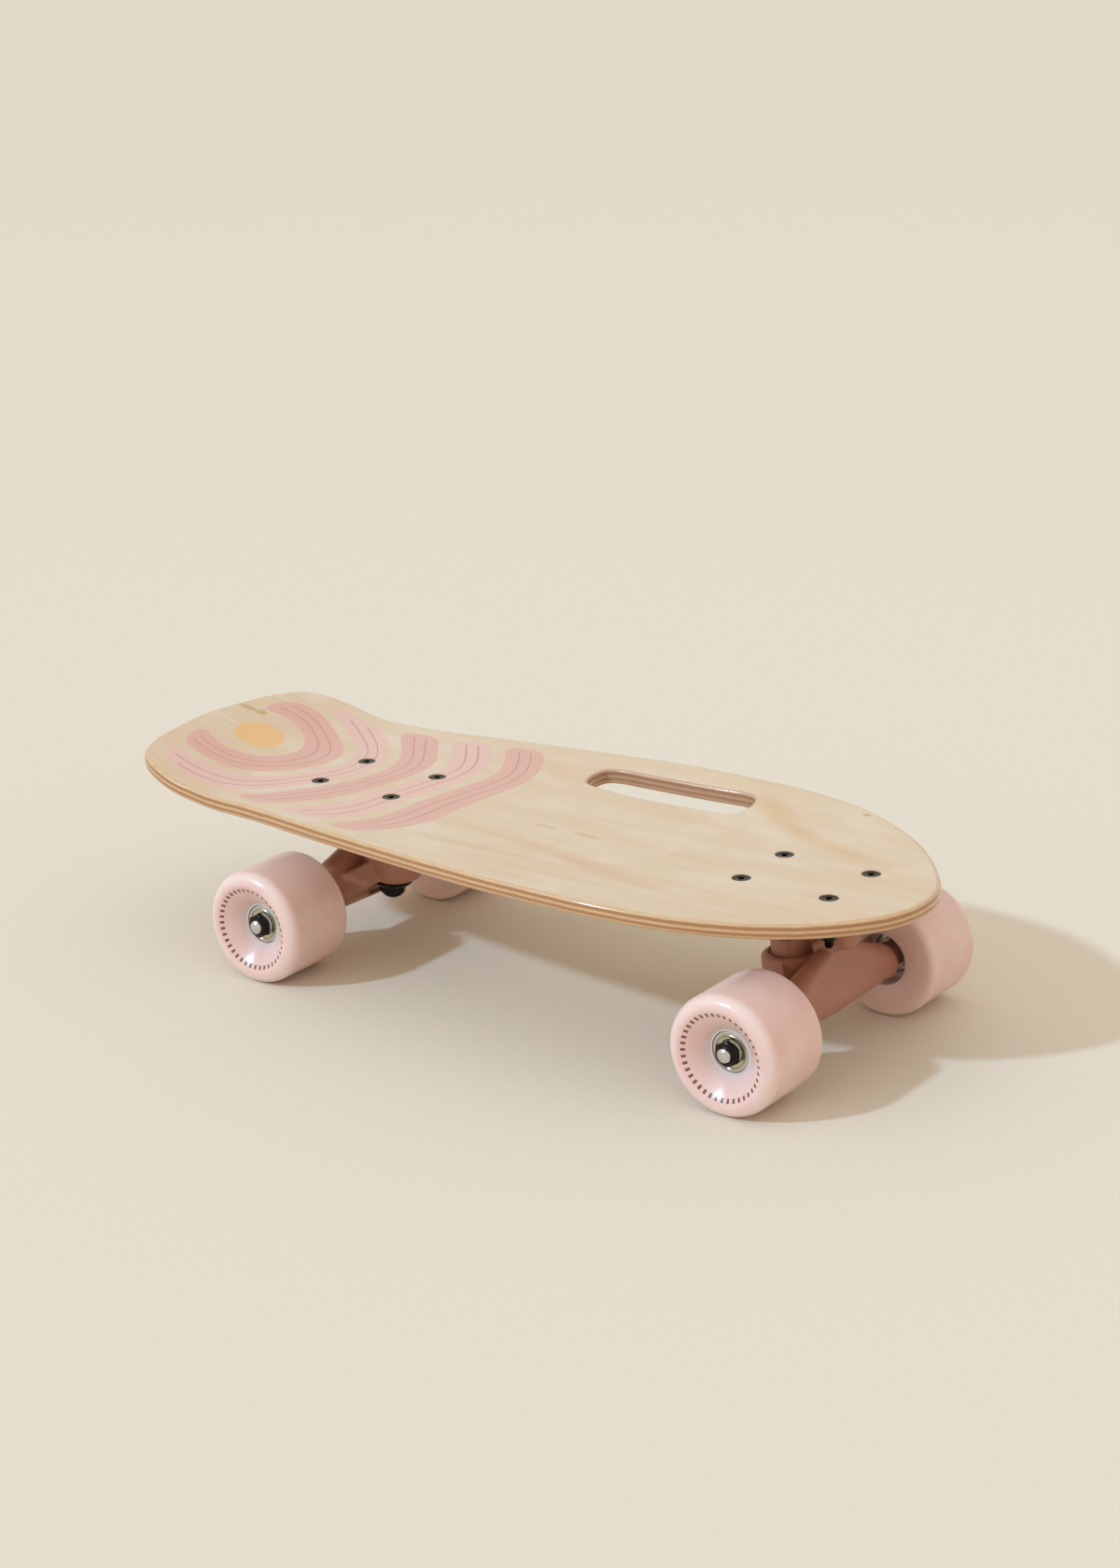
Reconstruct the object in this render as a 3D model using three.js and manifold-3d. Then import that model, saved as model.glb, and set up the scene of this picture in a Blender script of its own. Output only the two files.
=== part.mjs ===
// Small wooden cruiser skateboard, in millimetres.
// +X points to the nose, +Y to the rider's left, +Z up.
// The origin is on the floor, under the middle of the deck's length.

import * as THREE from 'three';
import { mergeVertices } from 'three/addons/utils/BufferGeometryUtils.js';
import Module from 'manifold-3d';

const wasm = await Module();
wasm.setup();

// Clearances
const CONTACT_GAP = 0.3;
const CUT_OVERRUN = 2;
const MERGE_DISTANCE = 0.0001;

// Deck
const DECK_LENGTH = 501;
const DECK_WIDTH = 210.6;
const DECK_THICKNESS = 8.5;
const DECK_EDGE_RADIUS = 2.5;
const FLAT_STRIP_WIDTH = 54;
const CONCAVE_RISE = 5.5;
const KICK_LENGTH = 88;
const KICK_RADIUS = 161;
const KICK_ANGLE = THREE.MathUtils.degToRad(15.8);
const END_FLATTENING_SHARE = 0.1;

// Outline of the left half from the nose tip to the tail tip, as shares of half the length and half the width
const DECK_OUTLINE_SHARES = [
  [1, 0], [0.985, 0.2], [0.919, 0.442], [0.811, 0.691], [0.633, 0.91], [0.45, 0.989],
  [0.294, 0.999], [0.142, 0.995], [-0.128, 0.934], [-0.358, 0.863], [-0.553, 0.797],
  [-0.717, 0.776], [-0.844, 0.768], [-0.929, 0.683], [-0.974, 0.487], [-0.993, 0.233], [-1, 0],
];
const DECK_COLUMN_SHARES = [1, 0.75, 0.5, 0.25, -0.25, -0.5, -0.75, -1];
const DECK_HALF_STEPS = 36;
const EDGE_STEPS = 2;
const ARC_DIVISIONS_PER_STEP = 12;

// Hand slot, beside the left edge of the deck
const SLOT_LENGTH = 106;
const SLOT_WIDTH = 33.2;
const SLOT_X = 42.9;
const SLOT_Y = 68.2;
const SLOT_TOP_CHAMFER = 1.5;
const SLOT_BOTTOM_CHAMFER = 0.6;
const SLOT_STEPS = 26;
const SLOT_OUTLINE_SHARES = [
  [-1, 0.06], [-0.96, 0.55], [-0.86, 0.71], [-0.5, 0.78], [0, 0.84], [0.45, 0.92], [0.75, 0.985],
  [0.88, 0.93], [0.96, 0.66], [1, 0.1], [0.985, -0.42], [0.92, -0.68], [0.74, -0.81], [0.35, -0.9],
  [-0.1, -0.985], [-0.4, -0.96], [-0.76, -0.82], [-0.93, -0.65], [-0.99, -0.3],
];

// Truck placing and mounting bolts
const TRUCK_SPACING = 294;
const NOSE_OVERHANG = 71.7;
const BOLT_SPACING_LENGTHWISE = 53.9;
const BOLT_SPACING_CROSSWISE = 41.3;
const BOLT_DIAMETER = 4.8;
const BOLT_LENGTH = 27;
const BOLT_HEAD_DIAMETER = 10;
const BOLT_HEAD_HEIGHT = 2.7;
const BOLT_HEAD_RIM = 0.4;
const BOLT_SOCKET_WIDTH = 3.2;
const BOLT_SOCKET_DEPTH = 1.8;
const BOLT_NUT_WIDTH = 9.5;
const BOLT_NUT_HEIGHT = 6;
const BOLT_NUT_HEX_HEIGHT = 4;
const BOLT_NUT_COLLAR_DIAMETER = 8.4;

// Baseplate
const BASE_LENGTH = 76;
const BASE_WIDTH = 57;
const BASE_THICKNESS = 8.5;
const BASE_CORNER_RADIUS = 9;
const BASE_BEVEL = 1.2;
const BASE_CORNER_STEPS = 3;
const SEAT_TOP_DIAMETER = 40;
const SEAT_FACE_DIAMETER = 30;
const PIVOT_HOUSING_DIAMETER = 16;
const PIVOT_HOUSING_TOP_DIAMETER = 23;
const PIVOT_MOUTH = 3.5;
const PIVOT_BULB_RINGS = 6;

// Places in a truck, measured outwards from the bolt pattern's centre and up from the axle, whose own height is
// the truck's height below the deck's underside
const TRUCK_HEIGHT = 54.8;
const AXLE_OFFSET = 12.9;
const RING_OFFSET = -8.1;
const RING_ABOVE_AXLE = 12.8;
const PIVOT_OFFSET = 24;
const PIVOT_ABOVE_AXLE = 35;
const KINGPIN_LEAN = THREE.MathUtils.degToRad(6);

// Kingpin stack, along the kingpin
const KINGPIN_DIAMETER = 9.5;
const KINGPIN_HEAD_DIAMETER = 15;
const KINGPIN_HEAD_HEIGHT = 5;
const KINGPIN_HEAD_SINK = 2;
const KINGPIN_STICK_OUT = 1;
const SEAT_ABOVE_RING = 17.8;
const WASHER_THICKNESS = 1.2;
const TOP_WASHER_DIAMETER = 25;
const CUP_WASHER_DIAMETER = 23.4;
const CUP_RIM_HEIGHT = 1.1;
const CUP_RIM_WALL = 1.1;
const BUSHING_DIAMETER = 22.6;
const BUSHING_EDGE = 1.4;
const BOTTOM_BUSHING_HEIGHT = 8.9;
const BOTTOM_BUSHING_FOOT_DIAMETER = 20;
const KINGPIN_NUT_WIDTH = 14.3;
const KINGPIN_NUT_HEX_HEIGHT = 5.4;
const KINGPIN_NUT_HEIGHT = 7.5;
const KINGPIN_NUT_COLLAR_DIAMETER = 12.6;

// Pivot
const PIVOT_PIN_DIAMETER = 8;
const PIVOT_PIN_REACH = 3.2;
const PIVOT_BALL_STEPS = 3;
const PIVOT_CUP_WALL = 1.3;
const PIVOT_CUP_MOUTH = 4;
const PIVOT_NECK_DIAMETER = 12;
const PIVOT_NECK_END = 6;
const NECK_CLEARANCE = 1;

// Hanger
const HANGER_WIDTH = 130.8;
const TUBE_DIAMETER = 23;
const TUBE_END_DIAMETER = 20.5;
const TUBE_BODY_WIDTH = 109;
const TUBE_END_ROUNDING = 3;
const TUBE_COLLAR_DIAMETER = 15;
const RING_DIAMETER = 34;
const RING_HEIGHT = 14.5;
const RING_EDGE = 3;
const RING_HOLE_DIAMETER = 13.4;
const TOP_POCKET_DEPTH = 2.5;
const BOTTOM_POCKET_DEPTH = 6;
const POCKET_DIAMETER = 26;
const CUP_WASHER_ROOM = 2.7;
const YOKE_THICKNESS = 13;
const YOKE_BEVEL = 2.5;
const YOKE_TUBE_SPAN = 88;
const YOKE_RING_SPAN = 33;
const CREST_HEIGHT = 27.5;
const CREST_THICKNESS = 9;
const CREST_OFFSET = 1.6;
const HANGER_BODY_SIDES = 16;

// The crest that rises from the axle tube, from the middle to the tube's rounded end, as shares of half the
// length between the rounded ends and of the crest's height over the axle
const CREST_SHARES = [[0, 1], [0.16, 0.98], [0.39, 0.83], [0.58, 0.7], [0.78, 0.54], [1, 0.39]];

// Axle and its nuts
const AXLE_DIAMETER = 8;
const AXLE_LENGTH = 196.6;
const AXLE_TIP_CHAMFER = 0.9;
const AXLE_NUT_WIDTH = 12.7;
const AXLE_NUT_HEIGHT = 5;
const AXLE_NUT_HEX_HEIGHT = 3.5;
const AXLE_NUT_COLLAR_DIAMETER = 11;

// Ball bearings, spacer sleeve and speed washers
const BEARING_DIAMETER = 22;
const BEARING_WIDTH = 7;
const BEARING_BORE_WALL = 2;
const BEARING_OUTER_WALL = 1.8;
const SHIELD_THICKNESS = 0.5;
const SHIELD_CLEARANCE = 0.35;
const SPACER_LENGTH = 10;
const SPACER_WALL = 1.4;
const SPEED_WASHER_THICKNESS = 1;

// Wheel, measured in from its outer face
const WHEEL_DIAMETER = 66;
const WHEEL_WIDTH = 47.3;
const WHEEL_INNER_RECESS = 12.4;
const WHEEL_INNER_HOLE_DIAMETER = 29;
const WHEEL_INNER_FACE_DIAMETER = 58;
const WHEEL_INNER_EDGE = 3.5;
const WHEEL_OUTER_EDGE = 7;
const WHEEL_OUTER_LIP_DIAMETER = 52;
const WHEEL_SEAT_WALL = 1.3;
const WHEEL_SEAT_LIP = 0.8;
const WHEEL_SHOULDER_DIAMETER = 18;
const WHEEL_SHOULDER_EDGE = 0.6;
const WHEEL_OUTER_EDGE_STEPS = 3;
const WHEEL_INNER_EDGE_STEPS = 2;

// The bowl of the outer face from its lip to the bearing seat, as shares of its breadth and its depth
const WHEEL_BOWL_SHARES = [[0.1, 0.03], [0.4, 0.3], [0.75, 0.72]];

// Number of flats on round pieces
const WHEEL_SIDES = 24;
const BEARING_SIDES = 14;
const ROUND_SIDES = 14;
const SMALL_SIDES = 8;
const HEX_SIDES = 6;

// Heights and places that follow from the sizes above
const AXLE_HEIGHT = WHEEL_DIAMETER / 2;
const UNDERSIDE_HEIGHT = AXLE_HEIGHT + TRUCK_HEIGHT;
const DECK_TOP_HEIGHT = UNDERSIDE_HEIGHT + DECK_THICKNESS;
const FRONT_TRUCK_X = DECK_LENGTH / 2 - NOSE_OVERHANG;
const REAR_TRUCK_X = FRONT_TRUCK_X - TRUCK_SPACING;
const KICK_START_X = KICK_LENGTH - DECK_LENGTH / 2;
const RING_DROP = TRUCK_HEIGHT - RING_ABOVE_AXLE;
const PIVOT_DROP = TRUCK_HEIGHT - PIVOT_ABOVE_AXLE;
const RING_TOP = RING_HEIGHT / 2;
const RING_BOTTOM = -RING_HEIGHT / 2;
const TOP_POCKET_FLOOR = RING_TOP - TOP_POCKET_DEPTH;
const BOTTOM_POCKET_FLOOR = RING_BOTTOM + BOTTOM_POCKET_DEPTH;
const TOP_WASHER_UPPER_FACE = SEAT_ABOVE_RING - CONTACT_GAP;
const TOP_WASHER_LOWER_FACE = TOP_WASHER_UPPER_FACE - WASHER_THICKNESS;
const BOTTOM_BUSHING_TOP = BOTTOM_POCKET_FLOOR - CONTACT_GAP;
const BOTTOM_BUSHING_FOOT = BOTTOM_BUSHING_TOP - BOTTOM_BUSHING_HEIGHT;
const CUP_WASHER_FACE = BOTTOM_BUSHING_FOOT - CONTACT_GAP;
const CUP_WASHER_BACK = CUP_WASHER_FACE - WASHER_THICKNESS;
const KINGPIN_NUT_TOP = CUP_WASHER_BACK - CONTACT_GAP;
const KINGPIN_NUT_BOTTOM = KINGPIN_NUT_TOP - KINGPIN_NUT_HEIGHT;
const KINGPIN_HOLE_RADIUS = KINGPIN_DIAMETER / 2 + CONTACT_GAP;
const BASE_ABOVE_RING = RING_DROP / Math.cos(KINGPIN_LEAN);
const PIVOT_ANGLE = Math.atan2(PIVOT_ABOVE_AXLE - RING_ABOVE_AXLE, PIVOT_OFFSET - RING_OFFSET);

// Places across the wheel, out from the board's centre line
const CORE_START = HANGER_WIDTH / 2 + CONTACT_GAP;
const INBOARD_BEARING_START = CORE_START + SPEED_WASHER_THICKNESS;
const INBOARD_BEARING_END = INBOARD_BEARING_START + BEARING_WIDTH;
const OUTBOARD_BEARING_START = INBOARD_BEARING_END + SPACER_LENGTH;
const OUTBOARD_BEARING_END = OUTBOARD_BEARING_START + BEARING_WIDTH;
const CORE_END = OUTBOARD_BEARING_END + SPEED_WASHER_THICKNESS;
const WHEEL_INNER_Y = INBOARD_BEARING_START - WHEEL_INNER_RECESS;
const WHEEL_OUTER_Y = WHEEL_INNER_Y + WHEEL_WIDTH;
const BORE_RADIUS = AXLE_DIAMETER / 2 + CONTACT_GAP;
const INNER_RING_RADIUS = BORE_RADIUS + BEARING_BORE_WALL;

const MATERIALS = {
  wood: new THREE.MeshStandardMaterial({ color: '#dcc7a7', roughness: 0.42, metalness: 0 }),
  truck: new THREE.MeshStandardMaterial({ color: '#c69380', roughness: 0.48, metalness: 0.1 }),
  bushing: new THREE.MeshStandardMaterial({ color: '#c08a78', roughness: 0.5, metalness: 0 }),
  cup: new THREE.MeshStandardMaterial({ color: '#2a2626', roughness: 0.6, metalness: 0 }),
  black: new THREE.MeshStandardMaterial({ color: '#1d1b1b', roughness: 0.38, metalness: 0.6 }),
  steel: new THREE.MeshStandardMaterial({ color: '#c4c3c0', roughness: 0.3, metalness: 1 }),
  wheel: new THREE.MeshStandardMaterial({ color: '#e3bbb1', roughness: 0.25, metalness: 0 }),
};

// Closed solid from a geometry whose shared vertices are still doubled
function solid(geometry) {
  const bare = geometry.index ? geometry.toNonIndexed() : geometry.clone();
  bare.deleteAttribute('normal');
  bare.deleteAttribute('uv');
  const merged = mergeVertices(bare, MERGE_DISTANCE);
  const corners = merged.index.array;
  const kept = [];
  for (let i = 0; i < corners.length; i += 3) {
    const [a, b, c] = corners.slice(i, i + 3);
    if (a !== b && b !== c && c !== a) {
      kept.push(a, b, c);
    }
  }
  return new wasm.Manifold(new wasm.Mesh({
    numProp: 3,
    vertProperties: new Float32Array(merged.attributes.position.array),
    triVerts: new Uint32Array(kept),
  }));
}

// Geometry of a solid, for a mesh
function geometryOf(body) {
  const mesh = body.getMesh();
  const geometry = new THREE.BufferGeometry();
  geometry.setAttribute('position', new THREE.BufferAttribute(mesh.vertProperties, mesh.numProp));
  geometry.setIndex(new THREE.BufferAttribute(mesh.triVerts, 1));
  geometry.computeVertexNormals();
  return geometry;
}

// Named mesh of one solid
function piece(name, body, material) {
  const mesh = new THREE.Mesh(geometryOf(body), material);
  mesh.name = name;
  return mesh;
}

// Turned geometry about Y from points [radius, y] given upwards along the outside, starting and ending on the axis
// or closing on themselves, with a flat side down
function turned(points, sides) {
  const profile = points.map(([radius, y]) => new THREE.Vector2(radius, y));
  return new THREE.LatheGeometry(profile, sides, Math.PI / sides, Math.PI * 2);
}

// Plain turned rod between two places along Y
function rod(radius, start, end, sides) {
  return turned([[0, start], [radius, start], [radius, end], [0, end]], sides);
}

// Cutter for a round hole, whose flats keep the hole's radius
function bore(radius, start, end, sides) {
  return rod(radius / Math.cos(Math.PI / sides), start, end, sides);
}

// Turned ring with a square section
function ring(inner, outer, start, end, sides) {
  return turned([[inner, start], [outer, start], [outer, end], [inner, end], [inner, start]], sides);
}

// Geometry moved into a frame
function placed(geometry, frame) {
  return geometry.clone().applyMatrix4(frame);
}

// Frame whose origin is at a point and whose Y runs along a direction in the XZ plane
function frameAlong(x, z, direction) {
  const frame = new THREE.Matrix4();
  const side = new THREE.Vector3().crossVectors(direction, new THREE.Vector3(0, 1, 0));
  frame.makeBasis(new THREE.Vector3(0, 1, 0), direction, side.negate());
  return frame.setPosition(x, 0, z);
}

const UP = frameAlong(0, 0, new THREE.Vector3(0, 0, 1));
const KINGPIN_FRAME = frameAlong(
  RING_OFFSET, -RING_DROP, new THREE.Vector3(-Math.sin(KINGPIN_LEAN), 0, Math.cos(KINGPIN_LEAN)),
);
const PIVOT_FRAME = frameAlong(
  PIVOT_OFFSET, -PIVOT_DROP, new THREE.Vector3(Math.cos(PIVOT_ANGLE), 0, Math.sin(PIVOT_ANGLE)),
);
const AXLE_FRAME = new THREE.Matrix4().makeTranslation(AXLE_OFFSET, 0, -TRUCK_HEIGHT);

// Height of the deck's top face above its flat middle
function deckRise(x, y) {
  const halfLength = DECK_LENGTH / 2;
  const side = Math.max(0, Math.abs(y) - FLAT_STRIP_WIDTH / 2) / (DECK_WIDTH / 2 - FLAT_STRIP_WIDTH / 2);
  const concave = CONCAVE_RISE * side ** 2 * (1 - END_FLATTENING_SHARE * (x / halfLength) ** 2);
  const run = Math.max(0, KICK_START_X - x);
  const arcRun = Math.min(run, KICK_RADIUS * Math.tan(KICK_ANGLE));
  const kick = arcRun ** 2 / (2 * KICK_RADIUS) + (run - arcRun) * Math.tan(KICK_ANGLE);
  return concave + kick;
}

// Evenly spaced points on a smooth closed curve through outline points
function smoothOutline(points, count) {
  const corners = points.map(([x, y]) => new THREE.Vector3(x, y, 0));
  const curve = new THREE.CatmullRomCurve3(corners, true, 'centripetal');
  curve.arcLengthDivisions = count * ARC_DIVISIONS_PER_STEP;
  return curve.getSpacedPoints(count).slice(0, count);
}

// Outline moved outwards by a distance, or inwards by a negative one, going anticlockwise
function offsetOutline(points, distance) {
  return points.map((point, i) => {
    const before = points[(i + points.length - 1) % points.length];
    const after = points[(i + 1) % points.length];
    const along = new THREE.Vector2(after.x - before.x, after.y - before.y).normalize();
    return new THREE.Vector3(point.x + along.y * distance, point.y - along.x * distance, 0);
  });
}

// Edge of the deck as steps [inset, drop] from its top face to its underside
function deckEdgeSteps() {
  const upper = [];
  for (let i = 0; i <= EDGE_STEPS; i += 1) {
    const turn = (i / EDGE_STEPS) * Math.PI / 2;
    upper.push([DECK_EDGE_RADIUS * (1 - Math.sin(turn)), DECK_EDGE_RADIUS * (1 - Math.cos(turn))]);
  }
  const lower = upper.map(([inset, drop]) => [inset, DECK_THICKNESS - drop]).reverse();
  return [...upper, ...lower];
}

// Deck panel without its cuts: rings round the edge, and rows across both faces between paired edge points
function deckPanel() {
  const half = DECK_OUTLINE_SHARES.map(([x, y]) => [x * DECK_LENGTH / 2, y * DECK_WIDTH / 2]);
  const mirrored = half.slice(1, -1).reverse().map(([x, y]) => [x, -y]);
  const outline = smoothOutline([...half, ...mirrored], DECK_HALF_STEPS * 2);
  const vertices = [];
  const triangles = [];
  const addVertex = (x, y, drop) => {
    vertices.push(x, y, DECK_TOP_HEIGHT + deckRise(x, y) - drop);
    return vertices.length / 3 - 1;
  };
  const addQuad = (a, b, c, d) => triangles.push(a, b, c, a, c, d);

  const rings = deckEdgeSteps().map(([inset, drop]) => (
    offsetOutline(outline, -inset).map((point) => addVertex(point.x, point.y, drop))
  ));
  for (let k = 1; k < rings.length; k += 1) {
    for (let i = 0; i < outline.length; i += 1) {
      const next = (i + 1) % outline.length;
      addQuad(rings[k - 1][i], rings[k][i], rings[k][next], rings[k - 1][next]);
    }
  }

  const addFace = (edge, drop, upwards) => {
    const rows = [];
    for (let i = 1; i < DECK_HALF_STEPS; i += 1) {
      const left = edge[i];
      const right = edge[outline.length - i];
      const x = vertices[left * 3];
      const y = vertices[left * 3 + 1];
      const inner = DECK_COLUMN_SHARES.slice(1, -1).map((share) => addVertex(x, y * share, drop));
      rows.push([left, ...inner, right]);
    }
    const face = [];
    for (let j = 1; j < DECK_COLUMN_SHARES.length; j += 1) {
      face.push([edge[0], rows[0][j - 1], rows[0][j]]);
      const last = rows[rows.length - 1];
      face.push([edge[DECK_HALF_STEPS], last[j], last[j - 1]]);
      for (let i = 1; i < rows.length; i += 1) {
        face.push([rows[i - 1][j - 1], rows[i][j - 1], rows[i][j]]);
        face.push([rows[i - 1][j - 1], rows[i][j], rows[i - 1][j]]);
      }
    }
    const corners = upwards ? face : face.map(([a, b, c]) => [a, c, b]);
    triangles.push(...corners.flat());
  };
  addFace(rings[0], 0, true);
  addFace(rings[rings.length - 1], DECK_THICKNESS, false);

  const geometry = new THREE.BufferGeometry();
  geometry.setAttribute('position', new THREE.Float32BufferAttribute(vertices, 3));
  geometry.setIndex(triangles);
  return geometry;
}

// Closed surface through rows of points, the first row going anticlockwise seen from outside, with triangles
// between the points of one row to close both ends
function loft(rows, endTriangles) {
  const count = rows[0].length;
  const vertices = rows.flatMap((row) => row.flatMap(({ x, y, z }) => [x, y, z]));
  const triangles = [];
  for (let k = 1; k < rows.length; k += 1) {
    for (let i = 0; i < count; i += 1) {
      const a = (k - 1) * count + i;
      const b = (k - 1) * count + (i + 1) % count;
      triangles.push(a, a + count, b, b, a + count, b + count);
    }
  }
  const last = (rows.length - 1) * count;
  endTriangles.forEach(([a, b, c]) => triangles.push(a, b, c, last + a, last + c, last + b));
  const geometry = new THREE.BufferGeometry();
  geometry.setAttribute('position', new THREE.Float32BufferAttribute(vertices, 3));
  geometry.setIndex(triangles);
  return geometry;
}

// Cutter for the hand slot, with its rims chamfered at both faces, following the deck's curve
function slotCutter() {
  const points = SLOT_OUTLINE_SHARES.map(([x, y]) => [
    SLOT_X + x * SLOT_LENGTH / 2, SLOT_Y + y * SLOT_WIDTH / 2,
  ]).reverse();
  const outline = smoothOutline(points, SLOT_STEPS);
  const levels = [
    [SLOT_TOP_CHAMFER + CUT_OVERRUN, -CUT_OVERRUN],
    [0, SLOT_TOP_CHAMFER],
    [0, DECK_THICKNESS - SLOT_BOTTOM_CHAMFER],
    [SLOT_BOTTOM_CHAMFER + CUT_OVERRUN, DECK_THICKNESS + CUT_OVERRUN],
  ];
  const rows = levels.map(([flare, drop]) => offsetOutline(outline, flare).map(({ x, y }) => (
    new THREE.Vector3(x, y, DECK_TOP_HEIGHT + deckRise(x, y) - drop)
  )));
  return loft(rows, THREE.ShapeUtils.triangulateShape(outline, []));
}

// Places of the four mounting bolts in a truck
function boltPlaces() {
  const places = [];
  [['outer', 1], ['inner', -1]].forEach(([end, outwards]) => {
    [['left', 1], ['right', -1]].forEach(([side, leftwards]) => {
      places.push({
        end, side, x: outwards * BOLT_SPACING_LENGTHWISE / 2, y: leftwards * BOLT_SPACING_CROSSWISE / 2,
      });
    });
  });
  return places;
}

// Countersunk hole for a mounting bolt, down from the deck's top face at zero height
function boltHoleCutter() {
  const hole = BOLT_DIAMETER / 2 + CONTACT_GAP;
  const mouth = BOLT_HEAD_DIAMETER / 2 + CONTACT_GAP;
  const rim = BOLT_HEAD_RIM + CONTACT_GAP;
  const sink = BOLT_HEAD_HEIGHT + CONTACT_GAP;
  return turned([
    [0, -DECK_THICKNESS - CUT_OVERRUN], [hole, -DECK_THICKNESS - CUT_OVERRUN], [hole, -sink],
    [mouth, -rim], [mouth, CUT_OVERRUN], [0, CUT_OVERRUN],
  ], SMALL_SIDES);
}

// Deck with its hand slot and its eight bolt holes
function deck() {
  let body = solid(deckPanel()).subtract(solid(slotCutter()));
  [[FRONT_TRUCK_X, 1], [REAR_TRUCK_X, -1]].forEach(([truckX, outwards]) => {
    boltPlaces().forEach(({ x, y }) => {
      const frame = UP.clone().setPosition(truckX + outwards * x, y, DECK_TOP_HEIGHT);
      body = body.subtract(solid(placed(boltHoleCutter(), frame)));
    });
  });
  return piece('deck', body, MATERIALS.wood);
}

// Hexagonal prism along Y, by its width across the flats
function hexagon(width, start, end) {
  return rod(width / 2 / Math.cos(Math.PI / HEX_SIDES), start, end, HEX_SIDES);
}

// Lock nut from a start to an end along Y: a hexagon, then a rounded collar, with a bore
function lockNut({ width, collar, holeRadius, start, hexEnd, end }) {
  const towards = Math.sign(end - start);
  const overlap = (hexEnd - start) / 2;
  const collarProfile = [
    [0, start + overlap], [collar / 2, start + overlap], [collar / 2, hexEnd + (end - hexEnd) / 2],
    [collar / 2 - Math.abs(end - hexEnd) / 2, end], [0, end],
  ];
  const low = Math.min(start, hexEnd);
  const high = Math.max(start, hexEnd);
  const collarUp = towards > 0 ? collarProfile : collarProfile.reverse();
  const body = solid(hexagon(width, low, high)).add(solid(turned(collarUp, SMALL_SIDES)));
  const boreStart = Math.min(start, end) - CUT_OVERRUN;
  const boreEnd = Math.max(start, end) + CUT_OVERRUN;
  return body.subtract(solid(bore(holeRadius, boreStart, boreEnd, SMALL_SIDES)));
}

// Solid moved into a frame
function placedSolid(body, frame) {
  return solid(placed(geometryOf(body), frame));
}

// Countersunk mounting bolt with a hexagon socket, its head's top at zero height
function mountingBolt() {
  const shank = BOLT_DIAMETER / 2;
  const head = BOLT_HEAD_DIAMETER / 2;
  const blank = turned([
    [0, -BOLT_LENGTH], [shank, -BOLT_LENGTH], [shank, -BOLT_HEAD_HEIGHT],
    [head, -BOLT_HEAD_RIM], [head, 0], [0, 0],
  ], SMALL_SIDES);
  const socket = hexagon(BOLT_SOCKET_WIDTH, -BOLT_SOCKET_DEPTH, CUT_OVERRUN);
  return solid(blank).subtract(solid(socket));
}

// Bolts and nuts that hold a truck to the deck
function mountingHardware(truck, sideNames) {
  const nutTop = -BASE_THICKNESS - CONTACT_GAP;
  return boltPlaces().flatMap(({ end, side, x, y }) => {
    const place = `${end}_${sideNames[side]}`;
    const boltFrame = UP.clone().setPosition(x, y, DECK_THICKNESS - CONTACT_GAP);
    const nutFrame = UP.clone().setPosition(x, y, 0);
    const nut = lockNut({
      width: BOLT_NUT_WIDTH,
      collar: BOLT_NUT_COLLAR_DIAMETER,
      holeRadius: BOLT_DIAMETER / 2 + CONTACT_GAP,
      start: nutTop,
      hexEnd: nutTop - BOLT_NUT_HEX_HEIGHT,
      end: nutTop - BOLT_NUT_HEIGHT,
    });
    return [
      piece(`${truck}_bolt_${place}`, placedSolid(mountingBolt(), boltFrame), MATERIALS.black),
      piece(`${truck}_bolt_nut_${place}`, placedSolid(nut, nutFrame), MATERIALS.black),
    ];
  });
}

// Rounded rectangle centred on the origin
function roundedRectangle(length, width, radius) {
  const x = length / 2;
  const y = width / 2;
  const shape = new THREE.Shape();
  shape.moveTo(x - radius, -y);
  shape.absarc(x - radius, radius - y, radius, -Math.PI / 2, 0);
  shape.absarc(x - radius, y - radius, radius, 0, Math.PI / 2);
  shape.absarc(radius - x, y - radius, radius, Math.PI / 2, Math.PI);
  shape.absarc(radius - x, radius - y, radius, Math.PI, Math.PI * 3 / 2);
  return shape;
}

// Flat plate of the baseplate, its lower rim bevelled, from the deck's underside down
function basePlateBody() {
  const shape = roundedRectangle(
    BASE_LENGTH - BASE_BEVEL * 2, BASE_WIDTH - BASE_BEVEL * 2, BASE_CORNER_RADIUS - BASE_BEVEL,
  );
  const geometry = new THREE.ExtrudeGeometry(shape, {
    depth: BASE_THICKNESS - CONTACT_GAP - BASE_BEVEL * 2,
    bevelThickness: BASE_BEVEL,
    bevelSize: BASE_BEVEL,
    bevelSegments: 1,
    curveSegments: BASE_CORNER_STEPS,
  });
  return solid(geometry.translate(0, 0, BASE_BEVEL - BASE_THICKNESS));
}

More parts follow.
